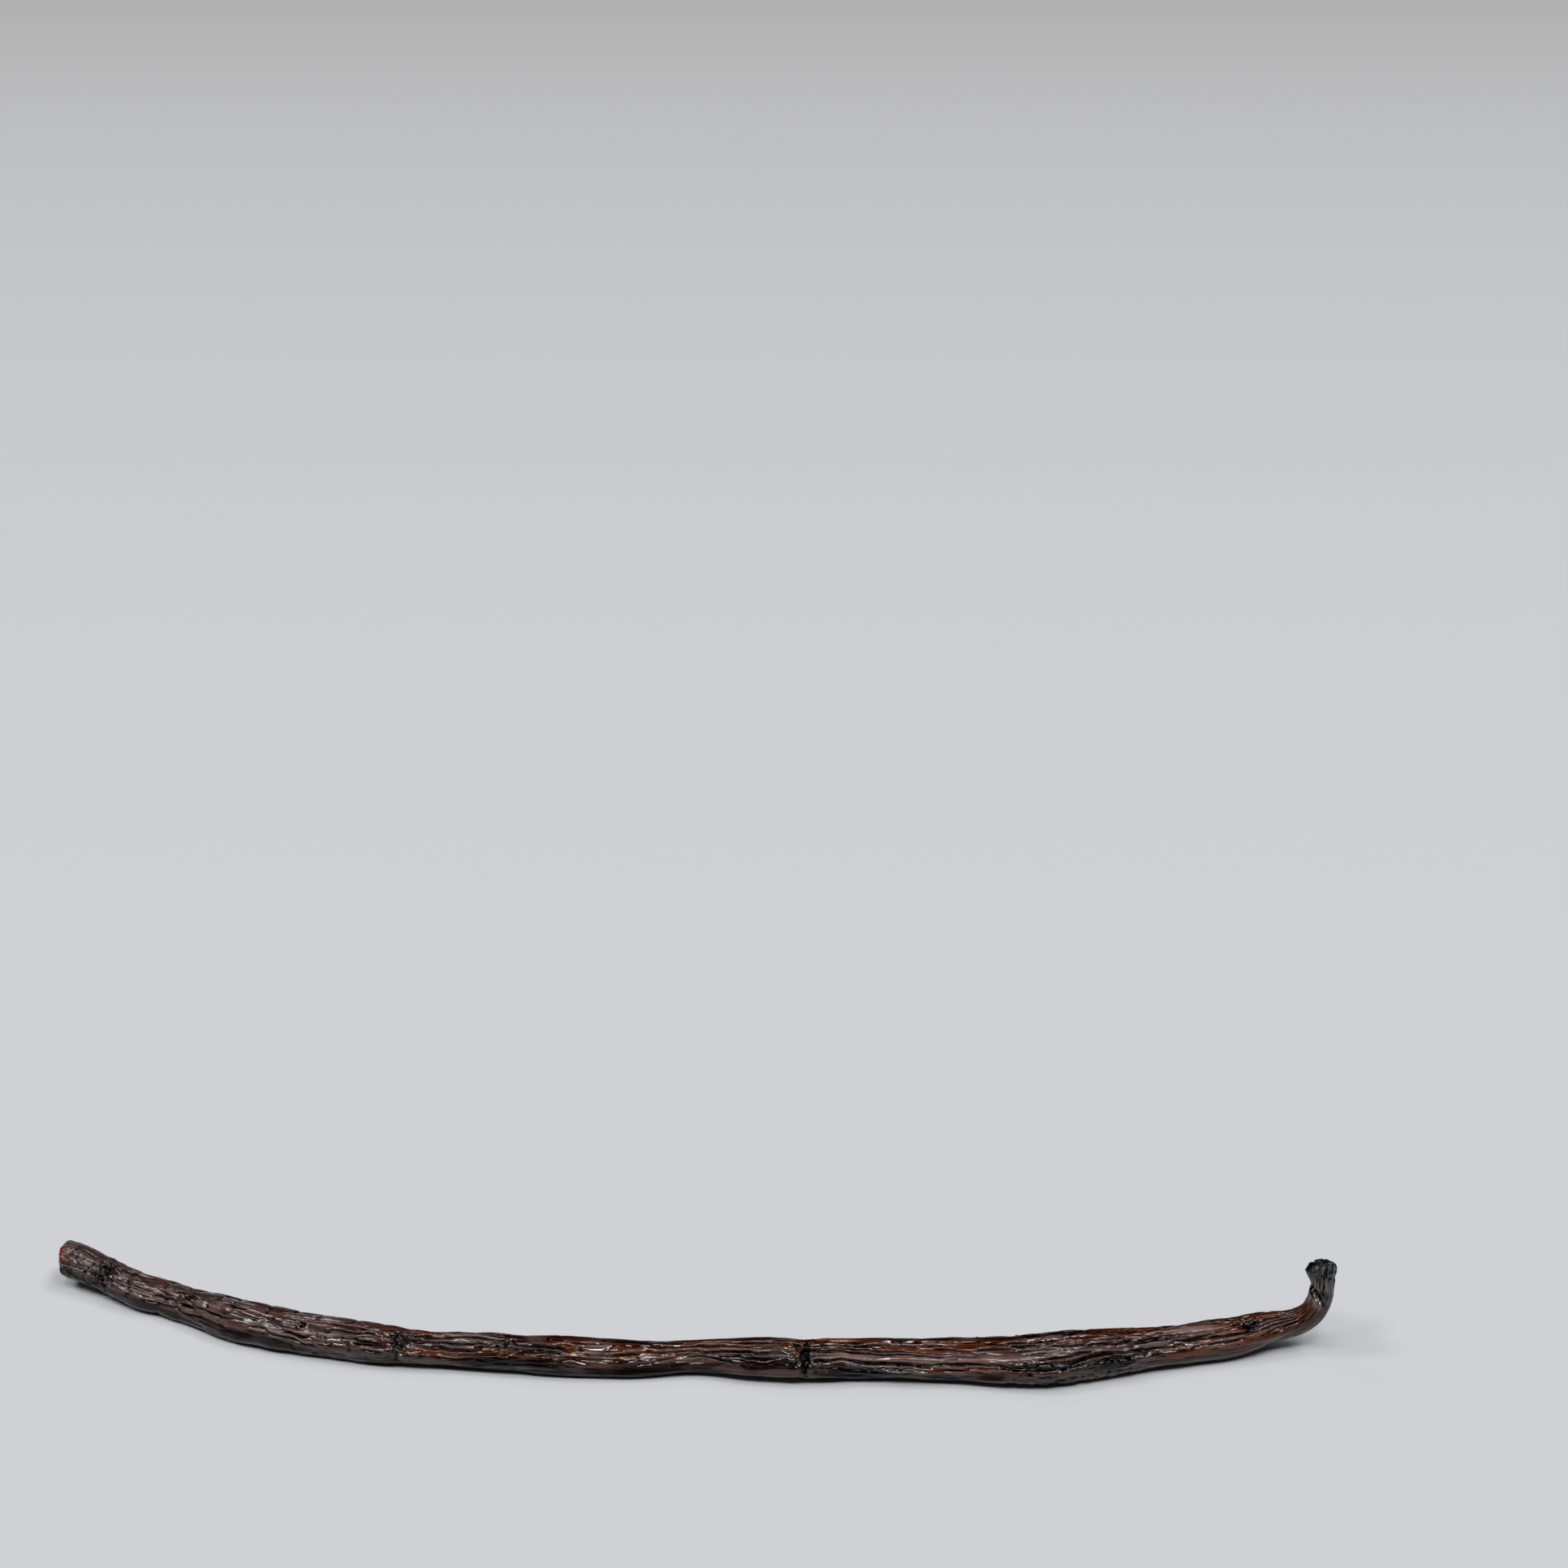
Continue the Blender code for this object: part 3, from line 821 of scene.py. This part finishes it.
WET_SPOTS = (
    (-74, 150, 2, 1.2), (-61, 118, 3, 0.8), (-52, 130, 3, 1), (-43.5, 158, 3, 0.7), (-35, 140, 2, 2),
    (-27, 154, 4, 0.8), (-16, 148, 2, 0.6), (-10, 120, 2, 1), (4, 122, 8, 0.4), (12, 145, 3, 0.5),
    (15.5, 165, 1.5, 2), (17, 103, 1.5, 0.5), (23, 166, 3.5, 0.6), (29, 172, 3, 0.6), (45, 166, 5, 0.6),
    (49, 92, 2, 0.5), (50, 172, 2, 0.6), (62.5, 153, 2.5, 0.5), (72, 128, 2.5, 0.8), (85.5, 150, 2, 2),
    (87.6, 140, 1, 2.5),
)
print("spots:", *map(len, (AMBER_SPOTS, SHEEN_SPOTS, BLACK_AND_SHADE_SPOTS, WET_SPOTS)))

# %% Find the furrows and the crowns of the folds, and where shade is painted


def blurred(field, rings, spokes):
    """Running mean over rings along the pod and over spokes round it."""
    along_pad = np.pad(field, ((rings, rings), (0, 0)), mode="edge")
    field = np.mean([along_pad[i : i + len(along)] for i in range(2 * rings + 1)], axis=0)
    return np.mean([np.roll(field, k, axis=1) for k in range(-spokes, spokes + 1)], axis=0)


standing = relief - blurred(relief, 2, 5)
crown = np.clip(standing / 0.06, 0, 1)
tipped = bell(ALONG / 8)
tipward, stalkward = 1 - past(-14, -2), past(46, 56)
black = ovals(BLACK_AND_SHADE_SPOTS)
# Painted shade in patches on the pressed face under the pod.
shade_below = soft_step(skin_noise(2.0, 5.5, 74, swayed) + 0.05 * aged, 0.03, 0.18)
shade_below *= soft_step(DEGREES, 164, 178) * below * (1 - 0.85 * stalkward)
furrowed = (-standing / 0.075 - 0.28) * (1 - 0.15 * aged + 0.5 * sleek)
# The shade painted black: deep in furrows, in cracks and black spots, in the patches under the pod, and
# on the pressed face towards the tip.
shades = (furrowed, 0.95 * cracks, 0.95 * black, 0.7 * shade_below, 0.45 * below * tipward)
hollow_shade = np.clip(np.maximum.reduce(shades), 0, 1)
print(f"hollow {hollow_shade.mean():.2f}")

# %% Work out how warm, pale and wet the skin is
warm = np.clip(0.9 * ovals(AMBER_SPOTS) + 0.38 + 0.9 * skin_noise(1.6, 9, 71), 0, 1)
warm *= (1 - 0.6 * below * (1 - stalkward)) * (1 - tipped) * (1 - 0.6 * aged)
# The pale grey is painted sheen, partly wear: on the sheen spots, ridge crests, fold crowns, the tip and
# the aged skin's upper faces.
pale = 0.9 * ovals(SHEEN_SPOTS) + 0.6 * crests + 0.15 * crown**2
pale = np.clip(pale + 0.12 * tipped + 0.32 * aged * (1 - 0.8 * below), 0, 1) * (1 - 0.7 * black)
wet = np.maximum(0.6 * black * (1 - below), ovals(WET_SPOTS))
wet = np.clip(wet + 0.5 * soft_step(crumple_noise(2.2, 72), 0.1, 0.4), 0, 1)
wet *= (1 - 0.4 * tipped) * (1 - 0.6 * below)
dried = soft_step(from_cap, 5.7, 4.9)
straight = np.stack([NOISE_RADIUS * np.cos(ANGLE), NOISE_RADIUS * np.sin(ANGLE), ALONG], axis=-1)
straight *= MM
print(f"pale {pale.mean():.2f}, warm {warm.mean():.2f}, wet {wet.mean():.2f}")

# %% Store them on the mesh
FIELDS = {
    # Painted shade in furrows, cracks and under the pod.
    "hollow_shade": hollow_shade,
    "lined": (1 - 0.55 * pressed) * (1 - 0.5 * aged),
    # Wear with painted sheen.
    "pale": pale,
    "warm": warm,
    "wet": np.maximum(wet, dried),
    # A painted red glow of light through the thin lip at the tip.
    "tip_glow": bell(ALONG / 1.5) * facing(138, 20),
    "capped": capped,
    "dried": np.maximum(dried, 0.8 * tipped),
    "aged": aged + 1.5 * tipped,
}
rings_at, spokes_at = (np.zeros(len(skin_mesh.vertices), np.int32) for _ in range(2))
skin_mesh.attributes["ring"].data.foreach_get("value", rings_at)
skin_mesh.attributes["spoke"].data.foreach_get("value", spokes_at)
for name, field in FIELDS.items():
    stored = skin_mesh.attributes.new(name, "FLOAT", "POINT")
    stored.data.foreach_set("value", field[rings_at, spokes_at].astype(np.float32))
stored = skin_mesh.attributes.new("straight", "FLOAT_VECTOR", "POINT")
stored.data.foreach_set("vector", straight[rings_at, spokes_at].astype(np.float32).ravel())
for name in ("ring", "spoke"):
    skin_mesh.attributes.remove(skin_mesh.attributes[name])
print("stored:", ", ".join(FIELDS))

# %% [markdown]
# ## Shader helpers
# The materials are node trees. Small helpers add a node, set its values and join it, so that each
# material reads as a short list of steps.

# %% Helpers for node trees


def feed(tree, socket, value):
    """Joins an output to a socket, or sets the socket's own value."""
    if isinstance(value, bpy.types.NodeSocket):
        tree.links.new(value, socket)
    else:
        socket.default_value = value


def put(tree, node, **values):
    """Sets a node's properties, and sets or joins its sockets, whose names have _ for a space."""
    for key, value in values.items():
        if hasattr(node, key):
            setattr(node, key, value)
        else:
            feed(tree, node.inputs[key.replace("_", " ")], value)
    return node


def add(tree, kind, **values):
    """Adds a node with its values."""
    return put(tree, tree.nodes.new(kind), **values)


def attribute(tree, name, output="Fac"):
    return add(tree, "ShaderNodeAttribute", attribute_name=name).outputs[output]


def maths(tree, operation, a, b):
    node = add(tree, "ShaderNodeMath", operation=operation)
    feed(tree, node.inputs[0], a)
    feed(tree, node.inputs[1], b)
    return node.outputs[0]


def summed(tree, first, *parts):
    """first, and then each (value, factor) multiplied out and added."""
    for value, factor in parts:
        first = maths(tree, "ADD", first, maths(tree, "MULTIPLY", value, factor))
    return first


def vector_maths(tree, operation, a, b):
    """Joins b to the Scale socket of a SCALE node, and to the second vector of any other."""
    node = add(tree, "ShaderNodeVectorMath", operation=operation)
    feed(tree, node.inputs[0], a)
    feed(tree, node.inputs["Scale" if operation == "SCALE" else 1], b)
    return node.outputs[0]


def spread(tree, value, low, high, start=0.0, end=1.0):
    """Maps start..end of value on to low..high."""
    ends = {"From_Min": start, "From_Max": end, "To_Min": low, "To_Max": high}
    return add(tree, "ShaderNodeMapRange", Value=value, **ends).outputs["Result"]


def blend_colours(tree, factor, a, b):
    """a turning to b. The Mix node's sockets 6 and 7 are its two colours."""
    node = add(tree, "ShaderNodeMix", data_type="RGBA", Factor=factor)
    feed(tree, node.inputs[6], a)
    feed(tree, node.inputs[7], b)
    return node.outputs[2]


def new_material(name, piece):
    """Gives a piece a new material. Returns its node tree and its shader."""
    material = bpy.data.materials.new(name)
    material.use_nodes = True
    piece.data.materials.append(material)
    return material.node_tree, material.node_tree.nodes["Principled BSDF"]


# %% [markdown]
# ## A group for fine streaks
# The skin has fine lines, creases and specks that no mesh of a sensible size can hold. They come
# from noise and cells that are stretched along the pod, and more noise that isn't. The group
# gives them as values from 0 to 1, and each place they are used decides what they do.

# %% Build the streak group


def streak_group():
    """Place, Scale and Stretch in; streaks, creases, mottle and grain out."""
    tree = bpy.data.node_groups.new("pod streaks", "ShaderNodeTree")
    for name, kind in (("Place", "Vector"), ("Scale", "Float"), ("Stretch", "Float")):
        tree.interface.new_socket(name, in_out="INPUT", socket_type=f"NodeSocket{kind}")
    for name in ("Streaks", "Creases", "Mottle", "Grain"):
        tree.interface.new_socket(name, in_out="OUTPUT", socket_type="NodeSocketFloat")
    given, made = tree.nodes.new("NodeGroupInput"), tree.nodes.new("NodeGroupOutput")
    squeeze = maths(tree, "DIVIDE", 1.0, given.outputs["Stretch"])
    factors = add(tree, "ShaderNodeCombineXYZ", X=1.0, Y=1.0, Z=squeeze).outputs[0]
    scaled = vector_maths(tree, "MULTIPLY", given.outputs["Place"], factors)
    scaled = vector_maths(tree, "SCALE", scaled, given.outputs["Scale"])
    whole = vector_maths(tree, "SCALE", given.outputs["Place"], given.outputs["Scale"])
    bend = add(tree, "ShaderNodeTexNoise", Vector=scaled, Scale=0.35, Detail=2.0).outputs["Color"]
    bent = vector_maths(tree, "ADD", scaled, vector_maths(tree, "SCALE", bend, 1.6))
    noises = (
        ("Streaks", bent, 1.0, 5.0, 0.62),
        ("Mottle", whole, 0.3, 4.0, 0.6),
        ("Grain", whole, 2.6, 3.0, 0.7),
    )
    for name, at, scale, detail, rough in noises:
        node = add(tree, "ShaderNodeTexNoise", Vector=at, Scale=scale, Detail=detail, Roughness=rough)
        tree.links.new(node.outputs["Fac"], made.inputs[name])
    creases = add(tree, "ShaderNodeTexVoronoi", feature="DISTANCE_TO_EDGE", Vector=bent, Scale=0.9)
    tree.links.new(spread(tree, creases.outputs["Distance"], 0, 1, 0, 0.25), made.inputs["Creases"])
    return tree


streaks_of = streak_group()


def use_streaks(tree, scale, stretch):
    """The group's outputs at a scale in waves per metre, read from the straightened pod."""
    at = attribute(tree, "straight", "Vector")
    node = add(tree, "ShaderNodeGroup", node_tree=streaks_of, Place=at, Scale=scale, Stretch=stretch)
    return node.outputs


# %% [markdown]
# ## The cured skin
# The skin is a very dark brown with ruddy streaks. It turns amber where it is thin and a dry
# greenish black on the cap. Its furrows, cracks and creases, and patches under the pod, get painted
# shade in black. The black spots at the pinches are black too, and the tip's lip gets a painted red
# glow of light through it. Crests and pressed faces are a dull pinkish grey, partly wear and partly
# painted sheen, and the aged skin towards the blossom end is greyer and duller than the rest, with
# painted sheen on its upper faces. Each of these is a layer laid over the last, with a mask that
# says where it shows.

# %% Mix the skin's colour
# The black of painted shade.
SHADE_BLACK = (0.0015, 0.0006, 0.0003, 1)
DARK_BROWN = (0.0055, 0.0007, 0.0002, 1)
RED_BROWN = (0.034, 0.0034, 0.0005, 1)
AMBER = (0.110, 0.0220, 0.0011, 1)
# A dull pinkish grey for wear and painted sheen.
WEAR_AND_SHEEN = (0.195, 0.125, 0.112, 1)
# The red of a painted glow at the tip's lip.
TIP_GLOW_RED = (0.160, 0.016, 0.010, 1)
CAP_BLACK = (0.0055, 0.0064, 0.0060, 1)

tree, shader = new_material("cured skin", pod_skin)
fine = use_streaks(tree, 2200.0, 18.0)
wide = use_streaks(tree, 1000.0, 16.0)
hollow_shade_at, pale_at, warm_at, wet_at, tip_glow_at, capped_at, dried_at, aged_at, lined_at = (
    attribute(tree, name)
    for name in ("hollow_shade", "pale", "warm", "wet", "tip_glow", "capped", "dried", "aged", "lined")
)
lined = maths(tree, "MULTIPLY", lined_at, spread(tree, wide["Mottle"], 0.3, 1, 0.4, 0.6))
# Painted shade in the fine creases.
crease_shade = maths(tree, "MULTIPLY", spread(tree, fine["Creases"], 0.8, 0, 0.05, 0.5), lined)
ruddy = spread(tree, wide["Streaks"], 0, 1, 0.44, 0.62)
thin = spread(tree, wide["Streaks"], 0.12, 1, 0.42, 0.58)
# Streaks that break up the wear and painted sheen.
worn_sheen_streaks = spread(tree, fine["Streaks"], 0.28, 1, 0.38, 0.60)
# Each layer's mask and its colour. A later layer lies over the ones before it.
LAYERS = (
    (maths(tree, "MULTIPLY", ruddy, spread(tree, aged_at, 1, 0.5)), RED_BROWN),
    (maths(tree, "MULTIPLY", warm_at, thin), AMBER),
    (dried_at, CAP_BLACK),
    # Wear with painted sheen on crests and faces.
    (maths(tree, "MULTIPLY", pale_at, worn_sheen_streaks), WEAR_AND_SHEEN),
    # Painted shade in furrows, cracks, creases and under the pod.
    (maths(tree, "MAXIMUM", hollow_shade_at, crease_shade), SHADE_BLACK),
    # A painted red glow at the tip's lip.
    (maths(tree, "MULTIPLY", tip_glow_at, 0.9), TIP_GLOW_RED),
    (capped_at, CAP_BLACK),
)
coloured = DARK_BROWN
for mask, colour in LAYERS:
    coloured = blend_colours(tree, mask, coloured, colour)
put(tree, shader, Base_Color=coloured)
print(f"{len(LAYERS)} layers of colour")

# %% [markdown]
# ## Oil and fine relief
# The pod shines with its own oil. The skin itself is glossy, and fine creases in it break the
# gloss into crisp streaks, while the wetter places carry a thin coat on top. A deep furrow looks
# black and never shines, because light that falls into it doesn't come out again, so its shade is
# painted black. A black metal gives back nothing either, so the furrows, and the painted shade under
# the pod, are turned towards one.

# %% Make it shine and give it fine creases
rough = spread(tree, wide["Mottle"], 0.09, 0.15, 0.3, 0.7)
rough = summed(tree, rough, (wet_at, -0.03), (aged_at, 0.04), (capped_at, 0.06))
# Painted shade also turns the skin towards black metal, which paints out its reflections.
shade_metal = spread(tree, hollow_shade_at, 0, 0.92, 0.05, 0.75)
put(tree, shader, Roughness=rough, Metallic=shade_metal, Specular_IOR_Level=0.50, IOR=1.5)
put(tree, shader, Coat_Weight=maths(tree, "MULTIPLY", wet_at, 0.7), Coat_Roughness=0.07)

creased = maths(tree, "MULTIPLY", fine["Creases"], 0.026)
creased = maths(tree, "MULTIPLY", summed(tree, creased, (wide["Creases"], 0.045)), lined)
height = summed(tree, creased, (fine["Streaks"], 0.008), (fine["Grain"], 0.001))
bump = add(tree, "ShaderNodeBump", Height=height, Strength=1.0, Distance=MM)
put(tree, shader, Normal=bump.outputs["Normal"])
print(f"the skin's material has {len(tree.nodes)} nodes")

# %% [markdown]
# ## Stray seeds and beads of oil
# A few of the pod's own seeds stick to its oily skin. They are black grains about a quarter of a
# millimetre across. Where the skin is crumpled, oil has sweated out and stands in small beads,
# and each throws back a speck of light. Both are small balls sunk into the skin.

# %% Scatter the seeds
SEEDS = 64
SEED_RADIUS = (0.10, 0.16)
SEED_FLATNESS = (0.6, 0.9)
SEED_SHADES = ((0.002, 0.002, 0.002, 1), (0.012, 0.009, 0.008, 1))
# The rings at the blossom end and at the cap that no seed sticks to.
BARE_RINGS = (30, 60)
SUNK = 0.2


def sink_ball(bm, ring, spoke, size, flatness):
    """A small ball, sunk in the skin where a ring and a spoke cross. flatness 1 is round."""
    spin = Matrix.Rotation(random.uniform(0, math.tau), 4, "Z")
    stretch = Matrix.Diagonal((size, size * random.uniform(0.65, 1.0), size * flatness, 1))
    turn = Vector(outward[ring, spoke]).to_track_quat("Z", "Y").to_matrix().to_4x4()
    place = Matrix.Translation(places[ring, spoke] + outward[ring, spoke] * size * SUNK)
    bmesh.ops.create_icosphere(bm, subdivisions=2, radius=1.0, matrix=place @ turn @ spin @ stretch)


def grain_object(name, bm):
    """The balls as one object, pressed flat where they would sink below the table."""
    for vert in bm.verts:
        vert.co.z = max(vert.co.z, 0.0)
    return mesh_object(name, bm)


bm = bmesh.new()
for _ in range(SEEDS):
    ring = int(random.integers(BARE_RINGS[0], len(along) - BARE_RINGS[1]))
    spoke = int(random.integers(0, SPOKES))
    sink_ball(bm, ring, spoke, random.uniform(*SEED_RADIUS) * MM, random.uniform(*SEED_FLATNESS))
stray_seeds = grain_object("stray_seeds", bm)

tree, shader = new_material("seed black", stray_seeds)
at = add(tree, "ShaderNodeTexCoord").outputs["Object"]
speck = add(tree, "ShaderNodeTexNoise", Vector=at, Scale=9000.0).outputs["Fac"]
shade = blend_colours(tree, speck, *SEED_SHADES)
put(tree, shader, Base_Color=shade, Roughness=spread(tree, speck, 0.25, 0.5))
print(f"{SEEDS} seeds")

# %% Set out the beads of oil, in short rows from one x and turn to another
BEAD_STEP = 0.34
BEAD_RADIUS = (0.07, 0.15)
BEAD_FLATNESS = (0.4, 0.7)
BEADS_KEPT = 0.8
# How far a bead strays from its row: in millimetres along the pod, and in degrees round it.
BEAD_STRAY = (0.08, 2.2)
OIL_BROWN = (0.012, 0.006, 0.004, 1)
BEAD_ROWS = (
    (-80.5, 126, -77.5, 127), (-80, 140, -76.3, 141), (-75.9, 139, -74.6, 150), (-76, 147, -74.4, 142),
    (-63, 159, -60.5, 167), (-62.5, 118, -61, 119), (-60, 122, -58, 130), (-45.5, 156, -42, 160),
    (-36.4, 139, -35.8, 146), (-25.6, 153, -24.7, 154), (-16.4, 151, -15, 151), (10.5, 145, 14.2, 147),
    (15, 148, 15.8, 180), (16.8, 176, 17.8, 182), (20.3, 163, 23.5, 170), (24.2, 165, 26.8, 167),
    (27.3, 169, 30.6, 172), (24.6, 174, 31, 181), (41.9, 160, 43.2, 158), (43.4, 165, 46.4, 167),
    (44.3, 170, 48.2, 173), (48.4, 176, 50.2, 170), (52.8, 168, 53.4, 176), (56.5, 192, 58.6, 192),
    (60.8, 158, 64.6, 151), (63.3, 150, 64.2, 147), (71, 151, 76, 148), (72, 128, 74.4, 133),
    (76.5, 140, 79, 137), (36, 183, 37.6, 183),
)


def bead_places():
    """The ring and spoke of each bead, jittered about its row."""
    for x0, turn0, x1, turn1 in BEAD_ROWS:
        length = math.hypot(x1 - x0, math.radians(turn1 - turn0) * 3)
        for t in np.arange(0, 1, BEAD_STEP / length):
            x = x0 + t * (x1 - x0) + random.normal(0, BEAD_STRAY[0])
            turn = turn0 + t * (turn1 - turn0) + random.normal(0, BEAD_STRAY[1])
            ring = int(np.abs(along - along_at(x))[FACE_RINGS:-FACE_RINGS].argmin()) + FACE_RINGS
            yield ring, int(np.abs(turn_between(np.degrees(angle), turn)).argmin())


bm = bmesh.new()
for ring, spoke in bead_places():
    if random.uniform(0, 1) < BEADS_KEPT:
        sink_ball(bm, ring, spoke, random.uniform(*BEAD_RADIUS) * MM, random.uniform(*BEAD_FLATNESS))
oil_beads = grain_object("oil_beads", bm)

tree, shader = new_material("bead of oil", oil_beads)
put(tree, shader, Base_Color=OIL_BROWN, Roughness=0.10, Coat_Weight=1.0, Coat_Roughness=0.05)
print(f"beads of oil: {len(oil_beads.data.polygons)} faces")

# %% [markdown]
# ## Table, light and camera
# The pod lies on a plain pale table, which darkens a little into the distance. A row of narrow,
# soft windows hangs along the camera's side, so that every ridge of the skin catches one of them
# as a broken streak of gloss, and a smaller one in the middle adds crisp glints. Two weak ones
# behind keep the back from going black. The camera looks down at about twenty degrees from the
# near side, with a long lens.

# %% Lay the table
TABLE_SIZE = 30.0
TABLE_NEAR = (0.637, 0.658, 0.687, 1)
TABLE_FAR = (0.42, 0.42, 0.42, 1)

bm = bmesh.new()
bmesh.ops.create_grid(bm, x_segments=1, y_segments=1, size=TABLE_SIZE)
table = mesh_object("table", bm)
tree, shader = new_material("pale glaze", table)
place = add(tree, "ShaderNodeTexCoord").outputs["Object"]
depth = add(tree, "ShaderNodeSeparateXYZ", Vector=place).outputs["Y"]
far = spread(tree, depth, 0, 1, 0.1, 2.4)
put(tree, shader, Base_Color=blend_colours(tree, far, TABLE_NEAR, TABLE_FAR))
put(tree, shader, Roughness=0.9, Specular_IOR_Level=0.1)
print(f"a table {2 * TABLE_SIZE:.0f} m wide")

# %% Hang the windows, each with its bearing, its height, how wide it looks and its strength
WINDOWS = (
    (-90, 55, 15, 0.47), (-58, 52, 15, 0.55), (-28, 56, 15, 0.48), (3, 58, 15, 0.67), (36, 56, 15, 0.55),
    (70, 60, 15, 0.45), (110, 68, 15, 0.17), (-140, 50, 15, 0.11), (4, 56, 5, 0.18),
)
WINDOW_COLOUR = (1.0, 0.985, 0.98)
ROOM_COLOUR = (0.80, 0.80, 0.82, 1)
ROOM_STRENGTH = 0.03


def hang_window(bearing, raised, width, strength):
    """A soft light far away. bearing is counted from the camera's side, and all angles in degrees."""
    data = bpy.data.lights.new(f"window {bearing}", "SUN")
    data.angle = math.radians(width)
    data.energy = strength
    data.color = WINDOW_COLOUR
    light = new_object(data.name, data)
    light.rotation_euler = (math.radians(90 - raised), 0, math.radians(bearing))


for window in WINDOWS:
    hang_window(*window)
world = bpy.data.worlds.new("pale room")
world.use_nodes = True
room = world.node_tree
put(room, room.nodes["Background"], Color=ROOM_COLOUR, Strength=ROOM_STRENGTH)
bpy.context.scene.world = world
bpy.context.scene.view_settings.view_transform = "Standard"
print(f"{len(WINDOWS)} windows")

# %% Set the camera
CAMERA_PLACE = (0.0128, -0.3177, 0.190)
CAMERA_TILT = 19.955
LENS = 65.2
SENSOR = 36.0

camera_data = bpy.data.cameras.new("camera")
camera_data.lens = LENS
camera_data.sensor_width = SENSOR
camera = new_object("camera", camera_data)
camera.location = CAMERA_PLACE
camera.rotation_euler = (math.radians(90 - CAMERA_TILT), 0, 0)
bpy.context.scene.camera = camera
print(f"the camera looks down by {CAMERA_TILT:.0f} degrees")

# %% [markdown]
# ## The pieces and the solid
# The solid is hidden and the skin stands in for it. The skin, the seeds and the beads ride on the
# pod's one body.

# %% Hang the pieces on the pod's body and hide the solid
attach(pod_skin, "root")
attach(stray_seeds, "root")
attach(oil_beads, "root")
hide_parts("pod")
